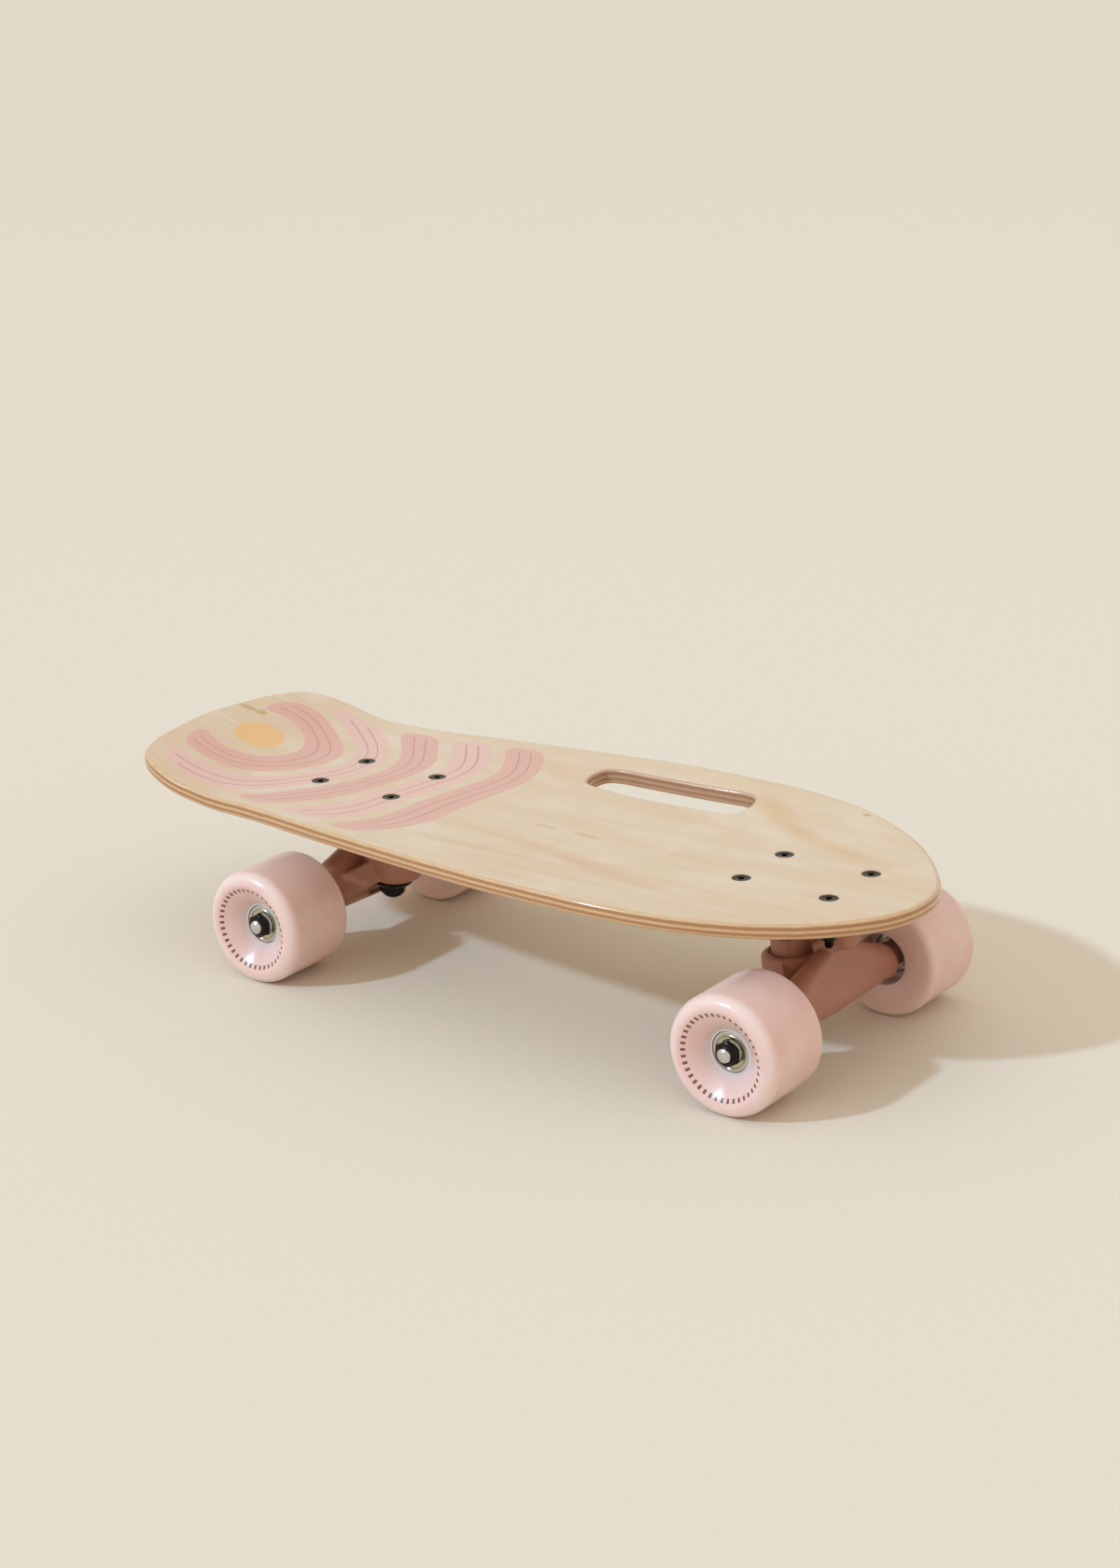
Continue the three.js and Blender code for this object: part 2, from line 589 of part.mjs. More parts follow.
// Cast baseplate: plate, kingpin seat and pivot housing
function baseplate() {
  const seat = turned([
    [0, SEAT_ABOVE_RING], [SEAT_FACE_DIAMETER / 2, SEAT_ABOVE_RING],
    [SEAT_TOP_DIAMETER / 2, BASE_ABOVE_RING - BASE_THICKNESS / 2], [0, BASE_ABOVE_RING - BASE_THICKNESS / 2],
  ], ROUND_SIDES);
  const housingTop = PIVOT_DROP - BASE_THICKNESS / 2;
  const housing = turned([
    [0, 0], [PIVOT_HOUSING_DIAMETER / 2, 0], [PIVOT_HOUSING_TOP_DIAMETER / 2, housingTop], [0, housingTop],
  ], ROUND_SIDES);
  const housingFrame = UP.clone().setPosition(PIVOT_OFFSET, 0, -PIVOT_DROP);
  const bulb = new THREE.SphereGeometry(PIVOT_HOUSING_DIAMETER / 2, ROUND_SIDES, PIVOT_BULB_RINGS);
  const blank = basePlateBody()
    .add(solid(placed(seat, KINGPIN_FRAME)))
    .add(solid(placed(housing, housingFrame)))
    .add(solid(placed(bulb, PIVOT_FRAME)));

  const kingpinHole = bore(KINGPIN_HOLE_RADIUS, 0, BASE_ABOVE_RING + BASE_THICKNESS, ROUND_SIDES);
  const headRadius = KINGPIN_HEAD_DIAMETER / 2 + CONTACT_GAP;
  const headFloor = BASE_ABOVE_RING - KINGPIN_HEAD_SINK - KINGPIN_HEAD_HEIGHT - CONTACT_GAP;
  const headPocket = bore(headRadius, headFloor, BASE_ABOVE_RING + BASE_THICKNESS, ROUND_SIDES);
  const cupRadius = PIVOT_PIN_DIAMETER / 2 + PIVOT_CUP_WALL + CONTACT_GAP * 2;
  const cupHole = bore(cupRadius, -PIVOT_DROP, cupFloor() + PIVOT_CUP_WALL + CONTACT_GAP, ROUND_SIDES);
  const neckRadius = PIVOT_NECK_DIAMETER / 2 + NECK_CLEARANCE;
  const neckRoom = bore(neckRadius, -PIVOT_OFFSET, -PIVOT_MOUTH, ROUND_SIDES);
  let body = blank
    .subtract(solid(placed(kingpinHole, KINGPIN_FRAME)))
    .subtract(solid(placed(headPocket, KINGPIN_FRAME)))
    .subtract(solid(placed(cupHole, PIVOT_FRAME)))
    .subtract(solid(placed(neckRoom, PIVOT_FRAME)));
  boltPlaces().forEach(({ x, y }) => {
    const hole = bore(
      BOLT_DIAMETER / 2 + CONTACT_GAP, -BASE_THICKNESS - CUT_OVERRUN, CUT_OVERRUN, SMALL_SIDES,
    );
    body = body.subtract(solid(placed(hole, UP.clone().setPosition(x, y, 0))));
  });
  return body;
}

// Place along the pivot of the floor inside the pivot cup
function cupFloor() {
  return PIVOT_PIN_REACH + CONTACT_GAP;
}

// Urethane cup that holds the hanger's pivot pin
function pivotCup() {
  const inner = PIVOT_PIN_DIAMETER / 2 + CONTACT_GAP;
  const outer = inner + PIVOT_CUP_WALL;
  return turned([
    [0, cupFloor()], [inner, cupFloor()], [inner, -PIVOT_CUP_MOUTH], [outer, -PIVOT_CUP_MOUTH],
    [outer, cupFloor() + PIVOT_CUP_WALL], [0, cupFloor() + PIVOT_CUP_WALL],
  ], ROUND_SIDES);
}

// Kingpin with its head sunk in the baseplate
function kingpin() {
  const shank = KINGPIN_DIAMETER / 2;
  const head = KINGPIN_HEAD_DIAMETER / 2;
  const end = KINGPIN_NUT_BOTTOM - KINGPIN_STICK_OUT;
  const headTop = BASE_ABOVE_RING - KINGPIN_HEAD_SINK;
  const headFoot = headTop - KINGPIN_HEAD_HEIGHT;
  return turned([
    [0, end], [shank, end], [shank, headFoot], [head, headFoot], [head, headTop], [0, headTop],
  ], ROUND_SIDES);
}

// Nut at the free end of the kingpin
function kingpinNut() {
  return lockNut({
    width: KINGPIN_NUT_WIDTH,
    collar: KINGPIN_NUT_COLLAR_DIAMETER,
    holeRadius: KINGPIN_HOLE_RADIUS,
    start: KINGPIN_NUT_TOP,
    hexEnd: KINGPIN_NUT_TOP - KINGPIN_NUT_HEX_HEIGHT,
    end: KINGPIN_NUT_BOTTOM,
  });
}

// Flat washer between the kingpin seat and the top bushing
function topWasher() {
  return ring(
    KINGPIN_HOLE_RADIUS, TOP_WASHER_DIAMETER / 2, TOP_WASHER_LOWER_FACE, TOP_WASHER_UPPER_FACE, ROUND_SIDES,
  );
}

// Cup washer with a raised rim round the foot of the bottom bushing
function cupWasher() {
  const outer = CUP_WASHER_DIAMETER / 2;
  const rimTop = CUP_WASHER_FACE + CUP_RIM_HEIGHT;
  return turned([
    [KINGPIN_HOLE_RADIUS, CUP_WASHER_BACK], [outer - CUP_RIM_WALL, CUP_WASHER_BACK],
    [outer, CUP_WASHER_FACE], [outer, rimTop], [outer - CUP_RIM_WALL, rimTop],
    [outer - CUP_RIM_WALL, CUP_WASHER_FACE], [KINGPIN_HOLE_RADIUS, CUP_WASHER_FACE],
    [KINGPIN_HOLE_RADIUS, CUP_WASHER_BACK],
  ], ROUND_SIDES);
}

// Barrel bushing between the seat and the hanger's ring
function topBushing() {
  const outer = BUSHING_DIAMETER / 2;
  const foot = TOP_POCKET_FLOOR + CONTACT_GAP;
  const top = TOP_WASHER_LOWER_FACE - CONTACT_GAP;
  return turned([
    [KINGPIN_HOLE_RADIUS, foot], [outer - BUSHING_EDGE, foot], [outer, foot + BUSHING_EDGE],
    [outer, top - BUSHING_EDGE], [outer - BUSHING_EDGE, top], [KINGPIN_HOLE_RADIUS, top],
    [KINGPIN_HOLE_RADIUS, foot],
  ], ROUND_SIDES);
}

// Tapered bushing between the hanger's ring and the cup washer
function bottomBushing() {
  const outer = BUSHING_DIAMETER / 2;
  return turned([
    [KINGPIN_HOLE_RADIUS, BOTTOM_BUSHING_FOOT], [BOTTOM_BUSHING_FOOT_DIAMETER / 2, BOTTOM_BUSHING_FOOT],
    [outer, BOTTOM_BUSHING_TOP - BUSHING_EDGE], [outer - BUSHING_EDGE, BOTTOM_BUSHING_TOP],
    [KINGPIN_HOLE_RADIUS, BOTTOM_BUSHING_TOP], [KINGPIN_HOLE_RADIUS, BOTTOM_BUSHING_FOOT],
  ], ROUND_SIDES);
}

// Point of the hanger body's section in a direction about the axle, on the tube or on the crest over it,
// whichever reaches further
function sectionPoint(turn, y, tube, crest, crestHeight) {
  const across = Math.sin(turn);
  const up = Math.cos(turn);
  const reach = CREST_OFFSET * across + (crestHeight - crest) * up + crest;
  const onCrest = reach > tube;
  const radius = onCrest ? crest : tube;
  return new THREE.Vector3(
    radius * across + (onCrest ? CREST_OFFSET : 0), y, radius * up + (onCrest ? crestHeight - crest : 0),
  );
}

// Body of the hanger: the axle tube, thicker in the middle, with its crest, rounded at both ends
function hangerBody() {
  const straightEnd = TUBE_BODY_WIDTH / 2 - TUBE_END_ROUNDING;
  const end = TUBE_END_DIAMETER / 2;
  const section = (y, tube, crest, crestHeight) => {
    const points = [];
    for (let i = 0; i < HANGER_BODY_SIDES; i += 1) {
      const turn = (i / HANGER_BODY_SIDES) * Math.PI * 2;
      points.push(sectionPoint(turn, y, tube, crest, crestHeight));
    }
    return points;
  };
  const left = CREST_SHARES.map(([along, up]) => section(
    along * straightEnd,
    THREE.MathUtils.lerp(TUBE_DIAMETER / 2, end, along),
    THREE.MathUtils.lerp(CREST_THICKNESS / 2, end, along),
    up * CREST_HEIGHT,
  ));
  const tip = end - TUBE_END_ROUNDING;
  left.push(section(TUBE_BODY_WIDTH / 2, tip, tip, tip));
  const right = left.slice(1).map((row) => row.map(({ x, y, z }) => new THREE.Vector3(x, -y, z)));
  const fan = [];
  for (let i = 2; i < HANGER_BODY_SIDES; i += 1) {
    fan.push([0, i - 1, i]);
  }
  return placed(loft([...left.reverse(), ...right], fan), AXLE_FRAME);
}

// Collars at both ends of the hanger, where the speed washers rest
function hangerCollars() {
  return placed(rod(TUBE_COLLAR_DIAMETER / 2, -HANGER_WIDTH / 2, HANGER_WIDTH / 2, ROUND_SIDES), AXLE_FRAME);
}

// Bushing ring of the hanger, without its holes
function hangerRing() {
  const outer = RING_DIAMETER / 2;
  return placed(turned([
    [0, RING_BOTTOM], [outer - RING_EDGE, RING_BOTTOM], [outer, RING_BOTTOM + RING_EDGE],
    [outer, RING_TOP - RING_EDGE], [outer - RING_EDGE, RING_TOP], [0, RING_TOP],
  ], ROUND_SIDES), KINGPIN_FRAME);
}

// Frame in the plane of the line from the axle to the ring: X across the board, Y from the axle to the ring
function yokeFrame() {
  const run = new THREE.Vector3(RING_OFFSET - AXLE_OFFSET, 0, RING_ABOVE_AXLE);
  const frame = frameAlong(AXLE_OFFSET, -TRUCK_HEIGHT, run.clone().normalize());
  return { frame, length: run.length() };
}

// Slab between the axle tube and the ring, wide at the tube, with rounded rims
function hangerYoke() {
  const { frame, length } = yokeFrame();
  const atTube = YOKE_TUBE_SPAN / 2 - YOKE_BEVEL;
  const atRing = YOKE_RING_SPAN / 2 - YOKE_BEVEL;
  const shape = new THREE.Shape([
    new THREE.Vector2(-atTube, 0), new THREE.Vector2(atTube, 0),
    new THREE.Vector2(atRing, length), new THREE.Vector2(-atRing, length),
  ]);
  const depth = YOKE_THICKNESS - YOKE_BEVEL * 2;
  const geometry = new THREE.ExtrudeGeometry(shape, {
    depth, bevelThickness: YOKE_BEVEL, bevelSize: YOKE_BEVEL, bevelSegments: 2,
  });
  return placed(geometry.translate(0, 0, -depth / 2), frame);
}

// Neck and round-ended pin that turn in the pivot cup
function pivotPin() {
  const pin = PIVOT_PIN_DIAMETER / 2;
  const neck = PIVOT_NECK_DIAMETER / 2;
  const root = -(PIVOT_OFFSET - AXLE_OFFSET) / Math.cos(PIVOT_ANGLE) - neck;
  const points = [[0, root], [neck, root], [neck, -PIVOT_NECK_END], [pin, -PIVOT_CUP_MOUTH - CONTACT_GAP]];
  const ballCentre = PIVOT_PIN_REACH - pin;
  for (let i = 0; i < PIVOT_BALL_STEPS; i += 1) {
    const turn = (i / PIVOT_BALL_STEPS) * Math.PI / 2;
    points.push([pin * Math.cos(turn), ballCentre + pin * Math.sin(turn)]);
  }
  points.push([0, PIVOT_PIN_REACH]);
  return placed(turned(points, ROUND_SIDES), PIVOT_FRAME);
}

// Cast hanger
function hanger() {
  const blank = solid(hangerBody())
    .add(solid(hangerCollars()))
    .add(solid(hangerRing()))
    .add(solid(hangerYoke()))
    .add(solid(pivotPin()));
  const hole = bore(RING_HOLE_DIAMETER / 2, RING_BOTTOM - CUT_OVERRUN, RING_TOP + CUT_OVERRUN, ROUND_SIDES);
  const topPocket = bore(POCKET_DIAMETER / 2, TOP_POCKET_FLOOR, RING_TOP + RING_HEIGHT, ROUND_SIDES);
  const bottomPocket = bore(POCKET_DIAMETER / 2, RING_BOTTOM - CUT_OVERRUN, BOTTOM_POCKET_FLOOR, ROUND_SIDES);
  const washerRoom = bore(
    CUP_WASHER_DIAMETER / 2 + CUP_WASHER_ROOM, RING_BOTTOM - RING_HEIGHT, RING_BOTTOM, ROUND_SIDES,
  );
  const tip = HANGER_WIDTH / 2 + CUT_OVERRUN;
  const axleHole = bore(BORE_RADIUS, -tip, tip, SMALL_SIDES);
  return [hole, topPocket, bottomPocket, washerRoom]
    .reduce((body, cutter) => body.subtract(solid(placed(cutter, KINGPIN_FRAME))), blank)
    .subtract(solid(placed(axleHole, AXLE_FRAME)));
}

// Steel axle with chamfered tips
function axle() {
  const radius = AXLE_DIAMETER / 2;
  const tip = AXLE_LENGTH / 2;
  const profile = [
    [0, -tip], [radius - AXLE_TIP_CHAMFER, -tip], [radius, AXLE_TIP_CHAMFER - tip],
    [radius, tip - AXLE_TIP_CHAMFER], [radius - AXLE_TIP_CHAMFER, tip], [0, tip],
  ];
  return placed(turned(profile, SMALL_SIDES), AXLE_FRAME);
}

// Nut that holds a wheel on the axle, on the side given by 1 or -1
function axleNut(side) {
  const start = CORE_END + CONTACT_GAP;
  const nut = lockNut({
    width: AXLE_NUT_WIDTH,
    collar: AXLE_NUT_COLLAR_DIAMETER,
    holeRadius: BORE_RADIUS,
    start: side * start,
    hexEnd: side * (start + AXLE_NUT_HEX_HEIGHT),
    end: side * (start + AXLE_NUT_HEIGHT),
  });
  return placedSolid(nut, AXLE_FRAME);
}

// Outer ring of a ball bearing with its two shields, from a start along Y
function bearingOuterRing(start) {
  const outer = BEARING_DIAMETER / 2;
  const race = outer - BEARING_OUTER_WALL;
  const lip = INNER_RING_RADIUS + SHIELD_CLEARANCE;
  const end = start + BEARING_WIDTH;
  return turned([
    [outer, start], [outer, end], [lip, end], [lip, end - SHIELD_THICKNESS],
    [race, end - SHIELD_THICKNESS], [race, start + SHIELD_THICKNESS],
    [lip, start + SHIELD_THICKNESS], [lip, start], [outer, start],
  ], BEARING_SIDES);
}

// Inner rings, spacer sleeve and speed washers of a wheel, which the axle nut clamps into one stack
function bearingCore() {
  const spacer = BORE_RADIUS + SPACER_WALL;
  return turned([
    [BORE_RADIUS, CORE_START], [INNER_RING_RADIUS, CORE_START], [INNER_RING_RADIUS, INBOARD_BEARING_END],
    [spacer, INBOARD_BEARING_END], [spacer, OUTBOARD_BEARING_START],
    [INNER_RING_RADIUS, OUTBOARD_BEARING_START], [INNER_RING_RADIUS, CORE_END],
    [BORE_RADIUS, CORE_END], [BORE_RADIUS, CORE_START],
  ], BEARING_SIDES);
}

// Quarter ellipse from the tread to a face, as points [radius, y]
function wheelEdge(tread, faceRadius, treadY, faceY, steps) {
  const points = [];
  for (let i = 0; i <= steps; i += 1) {
    const turn = (i / steps) * Math.PI / 2;
    points.push([
      faceRadius + (tread - faceRadius) * Math.cos(turn), treadY + (faceY - treadY) * Math.sin(turn),
    ]);
  }
  return points;
}

// Cast urethane wheel, its tread's flats on the nominal diameter
function wheel() {
  const tread = WHEEL_DIAMETER / 2 / Math.cos(Math.PI / WHEEL_SIDES);
  const seat = BEARING_DIAMETER / 2 + CONTACT_GAP;
  const lipRadius = seat + WHEEL_SEAT_WALL;
  const lipY = OUTBOARD_BEARING_END + WHEEL_SEAT_LIP;
  const shoulder = WHEEL_SHOULDER_DIAMETER / 2;
  const innerHole = WHEEL_INNER_HOLE_DIAMETER / 2;
  const innerEdge = wheelEdge(
    tread, WHEEL_INNER_FACE_DIAMETER / 2, WHEEL_INNER_Y + WHEEL_INNER_EDGE, WHEEL_INNER_Y,
    WHEEL_INNER_EDGE_STEPS,
  ).reverse();
  const outerEdge = wheelEdge(
    tread, WHEEL_OUTER_LIP_DIAMETER / 2, WHEEL_OUTER_Y - WHEEL_OUTER_EDGE, WHEEL_OUTER_Y,
    WHEEL_OUTER_EDGE_STEPS,
  );
  const bowl = WHEEL_BOWL_SHARES.map(([inwards, deep]) => [
    WHEEL_OUTER_LIP_DIAMETER / 2 + (lipRadius - WHEEL_OUTER_LIP_DIAMETER / 2) * inwards,
    WHEEL_OUTER_Y + (lipY - WHEEL_OUTER_Y) * deep,
  ]);
  return turned([
    [innerHole, WHEEL_INNER_Y], ...innerEdge, ...outerEdge, ...bowl,
    [lipRadius, lipY], [seat, lipY], [seat, OUTBOARD_BEARING_START - CONTACT_GAP],
    [shoulder, OUTBOARD_BEARING_START - CONTACT_GAP], [shoulder, INBOARD_BEARING_END + CONTACT_GAP],
    [seat, INBOARD_BEARING_END + CONTACT_GAP], [seat, INBOARD_BEARING_START - WHEEL_SHOULDER_EDGE],
    [innerHole, INBOARD_BEARING_START - WHEEL_SHOULDER_EDGE], [innerHole, WHEEL_INNER_Y],
  ], WHEEL_SIDES);
}

// Wheel with its bearings on one side of a truck, before it is turned to that side
function wheelSet(name) {
  const set = new THREE.Group();
  set.add(
    piece(`${name}_wheel`, solid(wheel()), MATERIALS.wheel),
    piece(`${name}_inboard_bearing`, solid(bearingOuterRing(INBOARD_BEARING_START)), MATERIALS.steel),
    piece(`${name}_outboard_bearing`, solid(bearingOuterRing(OUTBOARD_BEARING_START)), MATERIALS.steel),
    piece(`${name}_bearing_core`, solid(bearingCore()), MATERIALS.steel),
  );
  return set;
}

// One truck in its own place: X outwards to the board's end, origin on the deck's underside
function truck(name, sideNames) {
  const group = new THREE.Group();
  const alongKingpin = (geometry) => solid(placed(geometry, KINGPIN_FRAME));
  group.add(
    piece(`${name}_baseplate`, baseplate(), MATERIALS.truck),
    piece(`${name}_pivot_cup`, solid(placed(pivotCup(), PIVOT_FRAME)), MATERIALS.cup),
    piece(`${name}_kingpin`, alongKingpin(kingpin()), MATERIALS.black),
    piece(`${name}_kingpin_nut`, placedSolid(kingpinNut(), KINGPIN_FRAME), MATERIALS.black),
    piece(`${name}_top_washer`, alongKingpin(topWasher()), MATERIALS.black),
    piece(`${name}_bottom_washer`, alongKingpin(cupWasher()), MATERIALS.black),
    piece(`${name}_top_bushing`, alongKingpin(topBushing()), MATERIALS.bushing),
    piece(`${name}_bottom_bushing`, alongKingpin(bottomBushing()), MATERIALS.bushing),
    piece(`${name}_hanger`, hanger(), MATERIALS.truck),
    piece(`${name}_axle`, solid(axle()), MATERIALS.steel),
    piece(`${name}_axle_nut_${sideNames.left}`, axleNut(1), MATERIALS.black),
    piece(`${name}_axle_nut_${sideNames.right}`, axleNut(-1), MATERIALS.black),
    ...mountingHardware(name, sideNames),
  );
  ['left', 'right'].forEach((side) => {
    const set = wheelSet(`${name}_${sideNames[side]}`);
    set.position.set(AXLE_OFFSET, 0, -TRUCK_HEIGHT);
    set.rotation.z = side === 'left' ? 0 : Math.PI;
    group.add(set);
  });
  return group;
}

const board = new THREE.Group();
board.add(deck());

const frontTruck = truck('front', { left: 'left', right: 'right' });
frontTruck.position.set(FRONT_TRUCK_X, 0, UNDERSIDE_HEIGHT);
board.add(frontTruck);

const rearTruck = truck('rear', { left: 'right', right: 'left' });
rearTruck.position.set(REAR_TRUCK_X, 0, UNDERSIDE_HEIGHT);
rearTruck.rotation.z = Math.PI;
board.add(rearTruck);

export default board;
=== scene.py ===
"""Small wooden cruiser skateboard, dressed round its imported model.

Shapes are drawn in millimetres in the frame of the board or of one truck, and reach Blender in metres. A
profile is a list of rows (radius, height) that is turned about Z, and a row may name a shape of its own.
"""

import math

import bmesh
import bpy
import numpy as np
from mathutils import Matrix, Quaternion, Vector
from mathutils.geometry import delaunay_2d_cdt


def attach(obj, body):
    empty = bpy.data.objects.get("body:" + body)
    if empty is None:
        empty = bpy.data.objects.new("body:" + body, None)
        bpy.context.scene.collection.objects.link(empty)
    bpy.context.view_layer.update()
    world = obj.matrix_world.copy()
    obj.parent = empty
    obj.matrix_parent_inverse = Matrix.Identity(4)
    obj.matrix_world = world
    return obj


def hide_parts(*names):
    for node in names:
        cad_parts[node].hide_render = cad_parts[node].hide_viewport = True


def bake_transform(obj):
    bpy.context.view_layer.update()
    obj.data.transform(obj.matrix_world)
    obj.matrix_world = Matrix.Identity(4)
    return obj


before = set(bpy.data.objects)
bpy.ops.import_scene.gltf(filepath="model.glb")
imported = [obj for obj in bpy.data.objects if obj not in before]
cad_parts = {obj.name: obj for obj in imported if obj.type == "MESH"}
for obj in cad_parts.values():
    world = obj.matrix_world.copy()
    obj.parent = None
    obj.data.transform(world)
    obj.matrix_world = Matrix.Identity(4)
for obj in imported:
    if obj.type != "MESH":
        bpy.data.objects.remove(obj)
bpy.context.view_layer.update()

MM = 0.001
GAP = 0.3
SHARP_ANGLE = math.radians(32)
CURVE_STEPS = 40
CORNER_SHARE = 0.45

# Deck panel
DECK_LENGTH = 501
DECK_WIDTH = 210.6
DECK_THICKNESS = 8.5
DECK_EDGE_RADIUS = 2.5
DECK_TOP = 96.3
FLAT_STRIP_WIDTH = 54
CONCAVE_RISE = 5.5
END_FLATTENING_SHARE = 0.1
KICK_LENGTH = 88
KICK_RADIUS = 161
KICK_ANGLE = math.radians(15.8)
DECK_OUTLINE_SHARES = [
    (1, 0), (0.985, 0.2), (0.919, 0.442), (0.811, 0.691), (0.633, 0.91), (0.45, 0.989),
    (0.294, 0.999), (0.142, 0.995), (-0.128, 0.934), (-0.358, 0.863), (-0.553, 0.797),
    (-0.717, 0.776), (-0.844, 0.768), (-0.929, 0.683), (-0.974, 0.487), (-0.993, 0.233), (-1, 0),
]

# Hand slot
SLOT_LENGTH = 106
SLOT_WIDTH = 33.2
SLOT_CENTRE = (42.9, 68.2)
SLOT_TOP_ROUNDING = 1.5
SLOT_BOTTOM_ROUNDING = 0.6
SLOT_OUTLINE_SHARES = [
    (-1, 0.06), (-0.96, 0.55), (-0.86, 0.71), (-0.5, 0.78), (0, 0.84), (0.45, 0.92), (0.75, 0.985),
    (0.88, 0.93), (0.96, 0.66), (1, 0.1), (0.985, -0.42), (0.92, -0.68), (0.74, -0.81), (0.35, -0.9),
    (-0.1, -0.985), (-0.4, -0.96), (-0.76, -0.82), (-0.93, -0.65), (-0.99, -0.3),
]

# Trucks: their places on the board, and places in one truck, whose origin is on the deck's underside
FRONT_TRUCK_X = 178.8
REAR_TRUCK_X = -115.2
UNDERSIDE = DECK_TOP - DECK_THICKNESS
TRUCK_HEIGHT = 54.8
AXLE_OFFSET = 12.9
RING_OFFSET = -8.1
RING_DROP = 42
PIVOT_OFFSET = 24
PIVOT_DROP = 19.8
KINGPIN_LEAN = math.radians(6)
PIVOT_ANGLE = math.atan2(RING_DROP - PIVOT_DROP, PIVOT_OFFSET - RING_OFFSET)
BASE_THICKNESS = 8.5

# Mounting bolts
BOLT_SPACING = (53.9, 41.3)
BOLT_PLACES = [(i * BOLT_SPACING[0], j * BOLT_SPACING[1]) for i in (-0.5, 0.5) for j in (-0.5, 0.5)]
BOLT_RADIUS = 2.4
BOLT_HEAD_RADIUS = 5
BOLT_LENGTH = 27

# Threads: pitch and depth
BOLT_THREAD = (0.8, 0.42)
KINGPIN_THREAD = (1.25, 0.6)
AXLE_THREAD = (1.0, 0.45)

# Lock nuts: width across the flats, height of the hexagon, radius of the collar, height, radius of the hole
BOLT_NUT = (9.5, 4, 4.2, 6, 2.5)
KINGPIN_NUT = (14.3, 5.4, 6.3, 7.5, 4.85)
AXLE_NUT = (12.7, 3.5, 5.5, 5, 4.1)


def paint(tone):
    """Linear colour of an sRGB hex value or of a grey level. A tuple is a linear colour already."""
    if isinstance(tone, str):
        channels = [int(tone[i:i + 2], 16) / 255 for i in (1, 3, 5)]
        return [c / 12.92 if c <= 0.04045 else ((c + 0.055) / 1.055) ** 2.4 for c in channels] + [1]
    return tone if isinstance(tone, tuple) else [tone, tone, tone, 1]


def node(tree, kind, inputs=None, **settings):
    """Adds one node. A node or socket given for an input is linked to it, where a node stands for its first
    output in use, and any other value is set. A ramp is a list of stops."""
    made = tree.nodes.new(kind)
    for name, value in settings.items():
        if name == "ramp":
            stops = made.color_ramp.elements
            while len(stops) < len(value):
                stops.new(0.5)
            for stop, (place, colour) in zip(stops, value):
                stop.position = place
                stop.color = paint(colour)
        else:
            setattr(made, name, value)
    for name, value in (inputs or {}).items():
        if isinstance(value, bpy.types.Node):
            value = next(output for output in value.outputs if output.enabled)
        if isinstance(value, bpy.types.NodeSocket):
            tree.links.new(value, made.inputs[name])
        else:
            made.inputs[name].default_value = value
    return made


def add_rows(tree, kind, values, rows):
    """Adds a node of one kind for each row (name, operation, sources), where a source is an earlier name or a
    number."""
    for name, operation, *sources in rows:
        inputs = {i: values[s] if isinstance(s, str) else s for i, s in enumerate(sources)}
        values[name] = node(tree, kind, inputs, operation=operation)
    return values


# Shapes

def in_scene(name, data):
    """Object for a mesh, a lamp or a camera, set in the scene."""
    made = bpy.data.objects.new(name, data)
    bpy.context.scene.collection.objects.link(made)
    return made


def face_outwards(mesh):
    """Turns a closed mesh's faces outwards and shades it smooth."""
    sheet = bmesh.new()
    sheet.from_mesh(mesh)
    bmesh.ops.recalc_face_normals(sheet, faces=sheet.faces)
    sheet.to_mesh(mesh)
    sheet.free()
    mesh.shade_smooth()


def arc(centre, radii, start, end, steps):
    """Points on an arc from one angle to another, in degrees."""
    turns = [math.radians(start + (end - start) * k / steps) for k in range(steps + 1)]
    return [(centre[0] + radii[0] * math.cos(t), centre[1] + radii[1] * math.sin(t)) for t in turns]


def smooth_loop(corners, spacing):
    """Evenly spaced points on a smooth closed curve through corner points."""
    corners = np.array(corners, float)
    count = len(corners)
    steps = np.arange(CURVE_STEPS)[:, None] / CURVE_STEPS
    run = []
    for i in range(count):
        before, start, end, after = (corners[(i + k) % count] for k in (-1, 0, 1, 2))
        d0, d1, d2 = (math.sqrt(math.dist(*pair)) for pair in ((before, start), (start, end), (end, after)))
        leave = ((start - before) / d0 - (end - before) / (d0 + d1) + (end - start) / d1) * d1
        arrive = ((end - start) / d1 - (after - start) / (d1 + d2) + (after - end) / d2) * d1
        run.append(
            start + leave * steps
            + (3 * (end - start) - 2 * leave - arrive) * steps ** 2
            + (2 * (start - end) + leave + arrive) * steps ** 3
        )
    run = np.concatenate(run)
    run = np.vstack([run, run[:1]])
    along = np.concatenate([[0], np.cumsum(np.linalg.norm(np.diff(run, axis=0), axis=1))])
    places = np.linspace(0, along[-1], round(along[-1] / spacing), endpoint=False)
    return np.column_stack([np.interp(places, along, run[:, k]) for k in (0, 1)])


def offset_loop(points, distance):
    """Anticlockwise loop moved outwards, or inwards by a negative distance."""
    along = np.roll(points, -1, axis=0) - np.roll(points, 1, axis=0)
    along /= np.linalg.norm(along, axis=1)[:, None]
    return points + np.column_stack([along[:, 1], -along[:, 0]]) * distance


